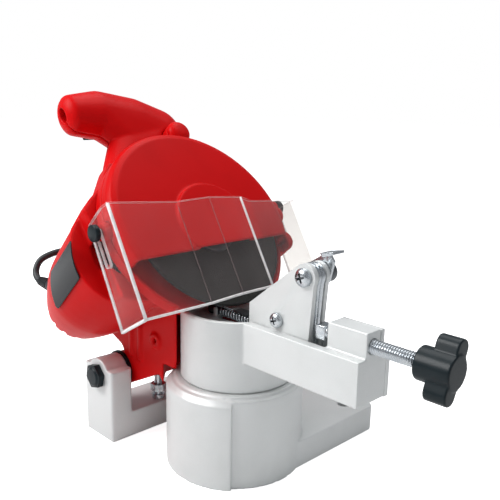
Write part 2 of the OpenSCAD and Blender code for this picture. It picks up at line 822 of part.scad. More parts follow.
// back of the grip, carries the rocker switch
module grip_cover() {
  color(red) in_head() difference() {
    intersection() {
      grip_body();
      translate([66, -100, grip_split - 60]) cube([300, 300, 60 - shell_gap]);
    }
    translate([motor_up, motor_side, -100]) cylinder(r = 40, h = 200);
    cylinder(r = 62, h = 200, center = true);
    translate([109, -6, grip_z]) rotate([-90, 0, 0]) cylinder(r = grip_bore, h = 42);
    translate([grip_end, 45, grip_z]) rotate([-90, 0, 0]) scale([1, 0.6, 1]) cylinder(r = 5.5, h = 20);
    translate([switch_up - 6, 9, -50]) cube([12, 22, 40]);
  }
}
switch_up = 109;
bearing_r = 8;
gear_room = -23;
// inner end of the strain relief, which points straight back to the left
exit_x = -110;
exit_y = -67;
exit_z = 104.6;
relief_r = 4.4;
relief_len = 20;

// room the arm keeps free over the base
module base_room() {
  translate([-plate_left - 5, -bracket_front - 5, -1])
    cube([plate_left + 60, ear_t + 5.3, hinge_h + 13.5]);
  translate([-plate_left - 5, ear_y - 0.3, -1])
    cube([plate_left + 60, ear_t + 5.3, hinge_h + 13.5]);
  translate([-plate_left - 5, -60, -1]) cube([plate_left + 60, 200, plate_t + 3]);
}

stop_bolt_x = -74;
stop_bolt_y = -8;

module stop_bolt() {
  // fixed under the arm, its tip rests on the bracket's floor
  color(zinc) {
    translate([stop_bolt_x, stop_bolt_y, plate_t + 0.1]) cylinder(d = 6, h = 18);
    translate([stop_bolt_x, stop_bolt_y, plate_t + 0.1]) cylinder(d = 9, h = 3);
  }
}

module stop_nut() {
  color(zinc) difference() {
    translate([stop_bolt_x, stop_bolt_y, plate_t + 6]) cylinder(d = 11.5, h = 5, $fn = 6);
    translate([stop_bolt_x, stop_bolt_y, 0]) cylinder(d = 6.04, h = 60);
  }
}

module housing_screws() {
  // long screws from the motor side, threaded into the guard
  color(zinc) in_head()
    for (p = screw_posts)
      translate([p[0], p[1], 0]) {
        translate([0, 0, case_split - 8.2]) cylinder(d = 6.5, h = 2.1);
        translate([0, 0, case_split - 6.2]) cylinder(d = 3.14, h = 12);
      }
}

// cone that follows the barrel's taper, a little outside it
module plate_cone(out) {
  slope = 1.8 / 28;
  translate([0, 0, case_split - 60])
    cylinder(r1 = barrel_r + 2 + out - 60 * slope, r2 = barrel_r + 2 + out, h = 60, $fn = 128);
}

module blank_plate() {
  // thin bent plate on the barrel's operator side
  color(black) in_head()
    translate([barrel_up, barrel_side, 0])
      intersection() {
        difference() {
          plate_cone(1.1);
          plate_cone(0.5);
        }
        rotate([90, 0, 0]) mirror([0, 0, 1]) translate([0, 0, 10]) linear_extrude(height = 40)
          offset(r = 2) offset(delta = -2)
            polygon([[13, -16], [-9.5, -23], [-9.5, -67], [13, -57]]);
      }
}

module rocker_frame() {
  color(black) in_head() difference() {
    union() {
      translate([switch_up - 5.9, 9.1, -37]) cube([11.8, 21.8, 12]);
      translate([switch_up - 7.5, 7.5, -38]) cube([15, 25, 1.5]);
    }
    translate([switch_up - 4.5, 10.5, -39]) cube([9, 19, 12]);
  }
}

module rocker_key() {
  color(black) in_head()
    translate([switch_up, 20, -34])
      intersection() {
        rotate([0, 90, 0]) cylinder(r = 9, h = 8.2, center = true);
        translate([-5, -9, -6]) cube([10, 18, 9]);
      }
}

// ---------------------------------------------------------------- visor

// panel line in the m-y plane, operator side first
visor_line = [
  [visor_m, -visor_side], [visor_m, -27.2], [visor_m + visor_bulge, -6.9],
  [visor_m + visor_bulge, 19.3], [visor_m, 33.8], [visor_m, visor_side - 1]
];

module visor_panel() {
  n = len(visor_line);
  linear_extrude(height = 73)
    polygon(concat(
      [for (i = [0 : n - 1]) visor_line[i]],
      [for (i = [n - 1 : -1 : 0]) visor_line[i] - [visor_t, 0]]));
}

module visor() {
  color([0.85, 0.9, 0.92, 0.4]) in_visor() difference() {
    union() {
      translate([0, 0, -49]) visor_panel();
      // side flaps
      for (s = [-1, 1])
        translate([0, s < 0 ? -visor_side : visor_side - 1 - visor_t, 0])
          rotate([90, 0, 0]) mirror([0, 0, 1])
            linear_extrude(height = visor_t)
              polygon([[visor_m, -49], [visor_m, 24], [-4, 20], [-13, 18], [-15, -49]]);
    }
    // top edge falls to the right
    translate([-40, -90, 0]) rotate([-5, 0, 0]) translate([0, -10, 23.2]) cube([90, 220, 30]);
    // slots for the thumb screws
    for (s = [-1, 1]) {
      y_rod(screw_m, screw_u, s * visor_side - 6, s * visor_side + 6, 2.3);
      y_rod(screw_m, screw_u - visor_travel, s * visor_side - 6, s * visor_side + 6, 2.3);
      translate([screw_m - 2.3, s * visor_side - 6, screw_u - visor_travel]) cube([4.6, 12, visor_travel]);
    }
  }
}

module visor_screws() {
  color(black) in_visor()
    for (s = [-1, 1])
      scale([1, s, 1]) {
        y_rod(screw_m, screw_u, visor_face(s) + 0.2, visor_face(s) + 3.4, 5.2);
        y_rod(screw_m, screw_u, visor_face(s) - 9, visor_face(s) + 1, 2);
      }
}
function visor_face(s) = s < 0 ? visor_side : visor_side - 1;

// ---------------------------------------------------------------- drive

module grinding_disc() {
  color([0.25, 0.25, 0.25]) in_head() difference() {
    translate([0, 0, -disc_t / 2]) cylinder(d = disc_d, h = disc_t, $fn = 128);
    translate([0, 0, -disc_t]) cylinder(d = disc_bore, h = disc_t * 2);
  }
}

module inner_flange() {
  color(zinc) in_head() difference() {
    union() {
      translate([0, 0, -disc_t / 2 - 3]) cylinder(r = flange_r, h = 2.95);
      translate([0, 0, -disc_t / 2 - 3]) cylinder(d = disc_bore - 0.1, h = 3 + disc_t * 0.8);
    }
    translate([0, 0, -10]) cylinder(r = spindle_r, h = 20);
  }
}

module outer_flange() {
  color(zinc) in_head() difference() {
    translate([0, 0, disc_t / 2 + 0.05]) cylinder(r = flange_r, h = 2);
    translate([0, 0, -10]) cylinder(r = spindle_r, h = 20);
  }
}

module spindle_nut() {
  color(zinc) in_head() difference() {
    translate([0, 0, disc_t / 2 + 2.1]) cylinder(d = 19, h = 3.6, $fn = 6);
    translate([0, 0, -10]) cylinder(r = spindle_r, h = 20);
  }
}

// spur gear: one polygon with trapezoid teeth
module gear(teeth, h, thin) {
  rp = gear_m * teeth / 2;
  ro = rp + gear_m * 0.9;
  ri = rp - gear_m * 1.2;
  step = 360 / teeth;
  linear_extrude(height = h)
    polygon([for (i = [0 : teeth - 1]) each [
      ri * [cos((i - 0.36) * step), sin((i - 0.36) * step)],
      rp * [cos((i - 0.25 + thin) * step), sin((i - 0.25 + thin) * step)],
      ro * [cos((i - 0.13 + thin) * step), sin((i - 0.13 + thin) * step)],
      ro * [cos((i + 0.13 - thin) * step), sin((i + 0.13 - thin) * step)],
      rp * [cos((i + 0.25 - thin) * step), sin((i + 0.25 - thin) * step)],
      ri * [cos((i + 0.36) * step), sin((i + 0.36) * step)]]]);
}

mesh_angle = atan2(motor_side, motor_up);

module spindle_gear() {
  color(zinc) in_head() {
    translate([0, 0, gear_room - 3]) cylinder(r = spindle_r - 0.03, h = 9.8 - gear_room);
    translate([0, 0, wheel_z]) rotate([0, 0, mesh_angle]) gear(wheel_n, wheel_w, 0.04);
  }
}

module rotor() {
  color(zinc) in_head() translate([motor_up, motor_side, 0]) {
    translate([0, 0, -103]) cylinder(r = 4, h = 89);
    translate([0, 0, wheel_z - 1]) rotate([0, 0, mesh_angle + 180 + 360 / pinion_n / 2]) gear(pinion_n, wheel_w + 2, 0.04);
    translate([0, 0, -77]) cylinder(r = 15.5, h = 30);
    translate([0, 0, -90]) cylinder(r = 9, h = 9);
    difference() {
      translate([0, 0, -44.5]) cylinder(r = 26, h = 5);
      for (a = [0 : 30 : 330])
        rotate([0, 0, a]) translate([10, -1.5, -43]) cube([20, 5, 10]);
    }
  }
}

module stator() {
  color(zinc) in_head() translate([motor_up, motor_side, 0]) difference() {
    translate([0, 0, -71.8]) cylinder(r = motor_room_r - 0.3, h = 25);
    translate([0, 0, -90]) cylinder(r = 16.5, h = 60);
    for (s = [-1, 1])
      translate([s * 23, 0, -90]) cylinder(r = 4, h = 60);
  }
}

module bearing_at(z, ri, ro, w) {
  translate([0, 0, z]) difference() {
    cylinder(r = ro, h = w);
    translate([0, 0, -1]) cylinder(r = ri, h = w + 2);
  }
}

module bearings() {
  color(zinc) in_head() {
    bearing_at(case_split + 0.4, spindle_r + 0.02, bearing_r, 3);
    bearing_at(gear_room - 3.4, spindle_r + 0.02, bearing_r, 3.3);
    translate([motor_up, motor_side, 0]) bearing_at(-103.9, 4.05, 7.9, 5);
    translate([motor_up, motor_side, 0]) bearing_at(gear_room - 4.4, 4.05, bearing_r, 4);
  }
}

module brush_holders() {
  color(black) in_head() translate([motor_up, motor_side, -85.5])
    for (s = [-1, 1])
      translate([0, s * 15.6, 0]) cube([7, 11, 7], center = true);
}

// ---------------------------------------------------------------- mains lead

cord_r = cord_d / 2;
// where the cord leaves the motor shell, head frame turned to the world
function head_point(x, y, z) = [
  -disc_left - x * sin(head_tilt) + z * cos(head_tilt),
  disc_y - y,
  disc_h + x * cos(head_tilt) + z * sin(head_tilt)
];
coil_mid = 27.6;
coil_turns = 8;
coil_pitch = cord_d + 0.5;
coil_out = coil_mid + coil_pitch * coil_turns / 4;
coil_x = -162;
coil_y = 168;
lay_z = cord_r + 0.1;
cord_points = [
  [exit_x - 2, exit_y, exit_z], [-117, exit_y, exit_z], [-123, exit_y, exit_z], [-128, exit_y, exit_z],
  [-132.5, -67, 105], [-137, -66.4, 107.5], [-139.6, -64.6, 112], [-140, -61, 116.8], [-138.5, -55, 120],
  [-137, -46, 121.8], [-138, -34, 121], [-142, -18, 115.5], [-147, -2, 105], [-152, 14, 92],
  [-158, 32, 71], [-164, 50, 47], [-171, 68, 26], [-180, 88, 10], [-189, 110, lay_z],
  [-196.5, 130, lay_z], [coil_x - coil_out, coil_y - 24, lay_z], [coil_x - coil_out, coil_y - 13, lay_z],
  [coil_x - coil_out, coil_y - cord_d, lay_z]
];

function spline(p0, p1, p2, p3, t) =
  0.5 * ((2 * p1) + (p2 - p0) * t + (2 * p0 - 5 * p1 + 4 * p2 - p3) * t * t
  + (3 * p1 - p0 - 3 * p2 + p3) * t * t * t);
function at(list, i) = list[max(0, min(len(list) - 1, i))];
function smooth(list, m) = concat(
  [for (i = [0 : len(list) - 2]) for (j = [0 : m - 1])
    spline(at(list, i - 1), list[i], list[i + 1], at(list, i + 2), j / m)],
  [list[len(list) - 1]]);
function unit(v) = v / norm(v);
function path_len(list) = len(list) < 2 ? 0 :
  [for (i = 0, s = 0; i < len(list); s = s + (i < len(list) - 1 ? norm(list[i + 1] - list[i]) : 0), i = i + 1) s][len(list) - 1];

module sweep(path, r, sides) {
  n = len(path);
  pts = [for (i = [0 : n - 1])
    let (t = unit(at(path, i + 1) - at(path, i - 1)),
         a = unit(cross(t, abs(t[2]) > 0.9 ? [1, 0, 0] : [0, 0, 1])),
         b = cross(t, a))
    each [for (k = [0 : sides - 1])
      path[i] + r * (cos(k * 360 / sides) * a + sin(k * 360 / sides) * b)]];
  skin = [for (i = [0 : n - 2]) for (k = [0 : sides - 1]) each [
    [i * sides + k, (i + 1) * sides + (k + 1) % sides, i * sides + (k + 1) % sides],
    [i * sides + k, (i + 1) * sides + k, (i + 1) * sides + (k + 1) % sides]]];
  caps = [[for (k = [0 : sides - 1]) k], [for (k = [0 : sides - 1]) (n - 1) * sides + sides - 1 - k]];
  polyhedron(points = pts, faces = concat(skin, caps), convexity = 10);
}

cord_path = smooth(cord_points, 3);
echo("free cord length", path_len(cord_path));

module strain_relief() {
  tip = exit_x - relief_len;
  color(black) difference() {
    union() {
      x_rod(exit_y, exit_z, tip + 13, exit_x - 0.1, relief_r);
      translate([tip, exit_y, exit_z]) rotate([0, 90, 0]) cylinder(r1 = cord_r + 0.7, r2 = relief_r, h = 13);
    }
    x_rod(exit_y, exit_z, tip - 1, exit_x + 1, cord_r + 0.03);
  }
}

module mains_cord() {
  color(black) sweep(cord_path, cord_r, 8);
}

module cord_coil() {
  // spiral in on the floor, then spiral out on top of it
  n = 24;
  half = coil_turns / 2 * n;
  path = concat(
    [[coil_x - coil_out, coil_y - cord_d + 0.05, lay_z]],
    [for (i = [0 : half])
      let (a = 180 - i * 360 / n, r = coil_out - coil_pitch * i / n)
      [coil_x + r * cos(a), coil_y + r * sin(a), lay_z]],
    [for (i = [1 : half])
      let (a = 180 - i * 360 / n, r = coil_out - coil_pitch * (half - i) / n)
      [coil_x + r * cos(a), coil_y + r * sin(a), lay_z + coil_pitch * min(1, i / n * 4)]],
    [[coil_x - coil_out, coil_y + tail, lay_z + coil_pitch]]);
  echo("coil length", path_len(path));
  color(black) sweep(path, cord_r, 6);
}

plug_r = cord_r + coil_pitch + 0.1;
tail = 30;

module mains_plug() {
  color(black) translate([coil_x - coil_out, coil_y + tail + 0.05, plug_r + 0.1]) rotate([-90, 0, 0]) {
    cylinder(r1 = 4.2, r2 = plug_r, h = 14);
    translate([0, 0, 14]) cylinder(r = plug_r, h = 18);
    for (s = [-1, 1])
      translate([s * 4.8, 0, 31]) cylinder(r = 2, h = 17);
  }
}

// ---------------------------------------------------------------- output

base_casting();
swivel_table();
pivot_bolt();
pivot_washer();
lock_knob();
vise_front_plate();
chain_guide_plate();
jaw_plate();
vise_back_plate();
cross_screw();
cross_nut();
pan_screw();
chain_stop_pawl();
stop_slider();
stop_screw();
stop_spring();
clamp_wedge();
clamp_screw();
clamp_knob();
clamp_lever();
hinge_bolt();
hinge_caps();
hinge_washers();
guard_cover();
gear_case();
motor_shell();
grip_cover();
housing_screws();
blank_plate();
rocker_frame();
rocker_key();
stop_bolt();
stop_nut();
visor();
visor_screws();
grinding_disc();
inner_flange();
outer_flange();
spindle_nut();
spindle_gear();
rotor();
stator();
bearings();
brush_holders();
strain_relief();
mains_cord();
cord_coil();
mains_plug();
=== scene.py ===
"""Looks of the bench chain sharpener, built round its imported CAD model.

Every length is in metres, in the frame of the CAD: Z up, X along the vise arm,
-Y towards the operator, and the floor at zero. A name that ends in _mm holds
millimetres, and angles are in degrees.
"""

import json
import logging
import math
from dataclasses import dataclass
from enum import Enum
from typing import Protocol, Sequence

import bmesh
import bpy
from mathutils import Matrix, Vector

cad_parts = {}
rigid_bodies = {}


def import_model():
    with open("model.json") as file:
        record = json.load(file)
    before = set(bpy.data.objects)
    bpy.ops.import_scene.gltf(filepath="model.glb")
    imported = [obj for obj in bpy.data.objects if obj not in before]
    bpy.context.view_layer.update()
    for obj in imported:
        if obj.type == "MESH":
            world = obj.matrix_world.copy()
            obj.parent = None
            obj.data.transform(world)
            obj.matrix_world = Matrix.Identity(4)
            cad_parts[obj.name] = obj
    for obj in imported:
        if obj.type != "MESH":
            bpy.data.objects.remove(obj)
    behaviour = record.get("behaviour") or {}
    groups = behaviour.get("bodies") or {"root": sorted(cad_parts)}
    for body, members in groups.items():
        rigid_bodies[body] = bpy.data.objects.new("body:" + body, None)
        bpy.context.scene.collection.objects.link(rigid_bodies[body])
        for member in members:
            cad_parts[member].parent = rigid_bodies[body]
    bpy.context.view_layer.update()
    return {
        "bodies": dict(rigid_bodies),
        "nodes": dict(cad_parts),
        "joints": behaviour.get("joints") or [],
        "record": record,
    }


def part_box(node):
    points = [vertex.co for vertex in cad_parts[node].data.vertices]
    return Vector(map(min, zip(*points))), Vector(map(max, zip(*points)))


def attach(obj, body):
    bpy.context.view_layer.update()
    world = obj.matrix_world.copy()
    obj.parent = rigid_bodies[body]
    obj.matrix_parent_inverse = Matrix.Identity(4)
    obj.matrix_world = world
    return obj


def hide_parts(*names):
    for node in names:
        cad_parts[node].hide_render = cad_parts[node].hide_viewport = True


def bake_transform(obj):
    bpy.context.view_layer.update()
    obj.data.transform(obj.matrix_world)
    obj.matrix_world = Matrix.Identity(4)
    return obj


log = logging.getLogger("sharpener")

MM = 0.001

Colour = tuple[float, float, float]
Pair = tuple[float, float]
Point = tuple[float, float, float]

FEW_OCTAVES = 2.0
SOME_OCTAVES = 3.0
MANY_OCTAVES = 4.0
NOISE_MEAN = 0.5

MIX_FACTOR = 0
MIX_FIRST_COLOUR = 6
MIX_SECOND_COLOUR = 7
MIX_RESULT_COLOUR = 2

WELD_DISTANCE = 0.005 * MM
FLAT_ANGLE = 1.0
BEVEL_ANGLE = 32.0
SMOOTH_FACTOR = 0.5
SMALLEST_RADIUS = 1e-7


# ---------------------------------------------------------------- shader maths


class Value:
    """A shader socket that takes part in arithmetic."""

    def __init__(self, graph: "NodeGraph", socket: bpy.types.NodeSocket) -> None:
        """Wraps a socket.

        Args:
            graph: the node graph that owns the socket.
            socket: an output socket that carries a number.
        """
        self.graph = graph
        self.socket = socket

    def _math(self, operation: str, first: object, second: object) -> "Value":
        """Adds one Math node and returns its output."""
        node = self.graph.node("ShaderNodeMath", {"operation": operation}, {0: first, 1: second})
        return Value(self.graph, node.outputs[0])

    def __add__(self, other: object) -> "Value":
        """self + other."""
        return self._math("ADD", self, other)

    __radd__ = __add__

    def __sub__(self, other: object) -> "Value":
        """self - other."""
        return self._math("SUBTRACT", self, other)

    def __rsub__(self, other: object) -> "Value":
        """other - self."""
        return self._math("SUBTRACT", other, self)

    def __mul__(self, other: object) -> "Value":
        """self * other."""
        return self._math("MULTIPLY", self, other)

    __rmul__ = __mul__

    def spread(self, low: float, high: float) -> "Value":
        """Maps low..high smoothly to 0..1.

        Args:
            low: value that becomes 0.
            high: value that becomes 1.

        Returns:
            The mapped value, clamped.
        """
        node = self.graph.node(
            "ShaderNodeMapRange",
            {"interpolation_type": "SMOOTHSTEP"},
            {"Value": self, "From Min": low, "From Max": high},
        )
        return Value(self.graph, node.outputs["Result"])


class NodeGraph:
    """A node tree that is put together node by node."""

    def __init__(self, tree: bpy.types.NodeTree) -> None:
        """Takes over a tree and empties it.

        Args:
            tree: the node tree of a material or of the world.
        """
        self.tree = tree
        self.tree.nodes.clear()

    def node(self, kind: str, settings: dict, inputs: dict) -> bpy.types.Node:
        """Adds a node.

        Args:
            kind: the node's type name.
            settings: attributes by name, which are set before the sockets.
            inputs: numbers, colours, Values or sockets, by an input's name or number.

        Returns:
            The new node.
        """
        made = self.tree.nodes.new(kind)
        for key, value in settings.items():
            setattr(made, key, value)
        for key, value in inputs.items():
            self.feed(made.inputs[key], value)
        return made

    def feed(self, socket: bpy.types.NodeSocket, value: object) -> None:
        """Links an input socket, or sets it where the value isn't a link.

        Args:
            socket: the input socket.
            value: a Value, an output socket, a colour, a vector or a number.
        """
        if isinstance(value, Value):
            self.tree.links.new(value.socket, socket)
        elif isinstance(value, bpy.types.NodeSocket):
            self.tree.links.new(value, socket)
        elif isinstance(value, tuple) and socket.type == "RGBA":
            socket.default_value = (*value, 1.0)
        else:
            socket.default_value = value


class Paint(NodeGraph):
    """A material that starts with one Principled shader."""

    def __init__(self, name: str) -> None:
        """Starts the material.

        Args:
            name: the material's name.
        """
        self.material = bpy.data.materials.new(name)
        self.material.use_nodes = True
        super().__init__(self.material.node_tree)
        self.output = self.node("ShaderNodeOutputMaterial", {}, {})
        self.shader = self.node("ShaderNodeBsdfPrincipled", {}, {})
        self.feed(self.output.inputs["Surface"], self.shader.outputs[0])

    def place(self, scale: Sequence[float]) -> bpy.types.NodeSocket:
        """The point on the piece at rest, in metres, times a scale along each axis."""
        rest = self.node("ShaderNodeTexCoord", {}, {}).outputs["Object"]
        return self.node("ShaderNodeMapping", {}, {"Vector": rest, "Scale": tuple(scale)}).outputs[0]

    def noise(self, size: float, detail: float = SOME_OCTAVES, stretch: Point = (1, 1, 1)) -> Value:
        """Noise with grains of a real size.

        Args:
            size: width of a grain in metres.
            detail: octaves.
            stretch: how much finer the grain is along each axis.

        Returns:
            The noise, about 0.5 in the mean.
        """
        spot = self.place([share / size for share in stretch])
        grain = self.node("ShaderNodeTexNoise", {}, {"Vector": spot, "Scale": 1.0, "Detail": detail})
        return Value(self, grain.outputs["Fac"])

    def mix(self, factor: object, first: object, second: object) -> bpy.types.NodeSocket:
        """Mixes two colours."""
        inputs = {MIX_FACTOR: factor, MIX_FIRST_COLOUR: first, MIX_SECOND_COLOUR: second}
        return self.node("ShaderNodeMix", {"data_type": "RGBA"}, inputs).outputs[MIX_RESULT_COLOUR]

    def bump(self, height: object, depth: float, strength: float) -> bpy.types.NodeSocket:
        """A normal from a height, whose range of 1 is depth metres deep."""
        inputs = {"Height": height, "Distance": depth, "Strength": strength}
        return self.node("ShaderNodeBump", {}, inputs).outputs[0]

    def dress(self, **sockets: object) -> bpy.types.Material:
        """Sets the shader's sockets.

        Args:
            **sockets: values by socket name, with underscores for spaces.

        Returns:
            The material.
        """
        for key, value in sockets.items():
            self.feed(self.shader.inputs[key.replace("_", " ")], value)
        return self.material

    def see_through(self, cover: Value, tint: Colour) -> bpy.types.Material:
        """Lets light through where the shader doesn't cover the surface.

        Args:
            cover: 0 where the surface is only clear, and 1 where it is only the shader.
            tint: colour of the light that comes through.

        Returns:
            The material.
        """
        clear = self.node("ShaderNodeBsdfTransparent", {}, {"Color": tint})
        inputs = {0: cover, 1: clear.outputs[0], 2: self.shader.outputs[0]}
        blend = self.node("ShaderNodeMixShader", {}, inputs)
        self.feed(self.output.inputs["Surface"], blend.outputs[0])
        return self.material


# ---------------------------------------------------------------- finishes


@dataclass(frozen=True)
class CastPaint:
    """Silver-white paint over a sand-like casting."""

    name: str = "cast_paint"
    colour: Colour = (0.70, 0.715, 0.71)
    stain: Colour = (0.56, 0.58, 0.57)
    metal: float = 0.22
    roughness: float = 0.42
    roughness_swing: float = 0.22
    cloud_size: float = 28 * MM
    cloud_band: Pair = (0.35, 0.85)
    cloud_stain: float = 0.38
    grain_size: float = 0.9 * MM
    grain_stain: float = 0.14
    grain_height: float = 0.7
    fine_size: float = 0.315 * MM
    fine_height: float = 0.3
    grain_depth: float = 0.10 * MM
    bump_strength: float = 0.55

    def build(self) -> bpy.types.Material:
        """Makes the cloudy, grainy paint.

        Returns:
            The material.
        """
        paint = Paint(self.name)
        cloud = paint.noise(self.cloud_size, MANY_OCTAVES).spread(*self.cloud_band)
        grain = paint.noise(self.grain_size, FEW_OCTAVES)
        fine = paint.noise(self.fine_size, FEW_OCTAVES)
        stained = cloud * self.cloud_stain + grain * self.grain_stain
        height = grain * self.grain_height + fine * self.fine_height
        return paint.dress(
            Base_Color=paint.mix(stained, self.colour, self.stain),
            Metallic=self.metal,
            Roughness=self.roughness + (grain - NOISE_MEAN) * self.roughness_swing,
            Normal=paint.bump(height, self.grain_depth, self.bump_strength),
        )


@dataclass(frozen=True)
class RedShell:
    """Moulded red housing plastic with a fine spark-eroded grain."""

    name: str = "red_shell"
    colour: Colour = (0.60, 0.004, 0.005)
    deep: Colour = (0.46, 0.002, 0.002)
    gloss: float = 0.06
    roughness: float = 0.36
    roughness_swing: float = 0.16
    flow_size: float = 40 * MM
    flow_stretch: Point = (1, 1, 0.5)
    flow_band: Pair = (0.3, 0.8)
    flow_share: float = 0.45
    grain_size: float = 0.42 * MM
    grain_depth: float = 0.03 * MM
    bump_strength: float = 0.5

    def build(self) -> bpy.types.Material:
        """Makes the plastic with its flow marks.

        Returns:
            The material.
        """
        paint = Paint(self.name)
        flow = paint.noise(self.flow_size, SOME_OCTAVES, self.flow_stretch).spread(*self.flow_band)
        grain = paint.noise(self.grain_size, FEW_OCTAVES)
        return paint.dress(
            Base_Color=paint.mix(flow * self.flow_share, self.colour, self.deep),
            Roughness=self.roughness + (grain - NOISE_MEAN) * self.roughness_swing,
            Specular_IOR_Level=self.gloss,
            Normal=paint.bump(grain, self.grain_depth, self.bump_strength),
        )


@dataclass(frozen=True)
class BlackPlastic:
    """Blue-black moulded plastic of knobs, caps and the nameplate."""

    name: str = "black_plastic"
    colour: Colour = (0.006, 0.012, 0.015)
    worn: Colour = (0.014, 0.022, 0.027)
    roughness: float = 0.34
    grain_depth: float = 0.035 * MM
    gloss: float = 0.22
    roughness_swing: float = 0.18
    cloud_size: float = 9 * MM
    cloud_band: Pair = (0.4, 0.8)
    cloud_share: float = 0.5
    grain_size: float = 0.5 * MM
    bump_strength: float = 0.6

    def build(self) -> bpy.types.Material:
        """Makes the plastic with its worn patches.

        Returns:
            The material.
        """
        paint = Paint(self.name)
        cloud = paint.noise(self.cloud_size, SOME_OCTAVES).spread(*self.cloud_band)
        grain = paint.noise(self.grain_size, FEW_OCTAVES)
        return paint.dress(
            Base_Color=paint.mix(cloud * self.cloud_share, self.colour, self.worn),
            Roughness=self.roughness + (grain - NOISE_MEAN) * self.roughness_swing,
            Specular_IOR_Level=self.gloss,
            Normal=paint.bump(grain, self.grain_depth, self.bump_strength),
        )


@dataclass(frozen=True)
class BareMetal:
    """Plated, blackened or plain metal with fine scratches."""

    name: str = "plated_steel"
    colour: Colour = (0.60, 0.63, 0.65)
    tint: Colour = (0.46, 0.50, 0.54)
    roughness: float = 0.24
    roughness_swing: float = 0.2
    cloud_size: float = 6 * MM
    cloud_band: Pair = (0.3, 0.8)
    scratch_size: float = 1.1 * MM
    scratch_stretch: Point = (1, 6, 1)
    scratch_middle: float = 0.4
    scratch_depth: float = 0.01 * MM
    bump_strength: float = 0.4

    def build(self) -> bpy.types.Material:
        """Makes the metal.

        Returns:
            The material.
        """
        paint = Paint(self.name)
        cloud = paint.noise(self.cloud_size, SOME_OCTAVES).spread(*self.cloud_band)
        scratch = paint.noise(self.scratch_size, FEW_OCTAVES, self.scratch_stretch)
        return paint.dress(
            Base_Color=paint.mix(cloud, self.colour, self.tint),
            Metallic=1.0,
            Roughness=self.roughness + (scratch - self.scratch_middle) * self.roughness_swing,
            Normal=paint.bump(scratch, self.scratch_depth, self.bump_strength),
        )


@dataclass(frozen=True)
class BondedGrit:
    """Dark abrasive grains in resin."""

    name: str = "bonded_grit"
    colour: Colour = (0.030, 0.031, 0.029)
    grit: Colour = (0.085, 0.085, 0.080)
    gloss: float = 0.2
    roughness: float = 0.82
    roughness_drop: float = 0.25
    cells_per_metre: float = 1500.0
    cell_depth: float = 0.25 * MM
    bump_strength: float = 0.8
    speck_size: float = 0.6 * MM
    speck_band: Pair = (0.52, 0.72)

    def build(self) -> bpy.types.Material:
        """Makes the grit, with a rounded hump in each cell.

        Returns:
            The material.
        """
        paint = Paint(self.name)
        inputs = {"Vector": paint.place([self.cells_per_metre] * 3), "Scale": 1.0}
        cell = paint.node("ShaderNodeTexVoronoi", {"feature": "F1"}, inputs)
        hump = 1.0 - Value(paint, cell.outputs["Distance"])
        speck = paint.noise(self.speck_size, SOME_OCTAVES).spread(*self.speck_band)
        return paint.dress(
            Base_Color=paint.mix(speck, self.colour, self.grit),
            Roughness=self.roughness - speck * self.roughness_drop,
            Specular_IOR_Level=self.gloss,
            Normal=paint.bump(hump, self.cell_depth, self.bump_strength),
        )


@dataclass(frozen=True)
class CordRubber:
    """Matt rubber of the lead and its strain relief."""

    name: str = "cord_rubber"
    colour: Colour = (0.012, 0.016, 0.018)
    dusty: Colour = (0.035, 0.042, 0.045)
    roughness: float = 0.50
    roughness_swing: float = 0.2
    dust_size: float = 5 * MM
    dust_band: Pair = (0.4, 0.9)
    dust_share: float = 0.6
    grain_size: float = 0.35 * MM
    grain_depth: float = 0.03 * MM
    bump_strength: float = 0.6

    def build(self) -> bpy.types.Material:
        """Makes the rubber with its dust.

        Returns:
            The material.
        """
        paint = Paint(self.name)
        dust = paint.noise(self.dust_size, MANY_OCTAVES).spread(*self.dust_band)
        grain = paint.noise(self.grain_size, FEW_OCTAVES)
        return paint.dress(
            Base_Color=paint.mix(dust * self.dust_share, self.colour, self.dusty),
            Roughness=self.roughness + (grain - NOISE_MEAN) * self.roughness_swing,
            Normal=paint.bump(grain, self.grain_depth, self.bump_strength),
        )


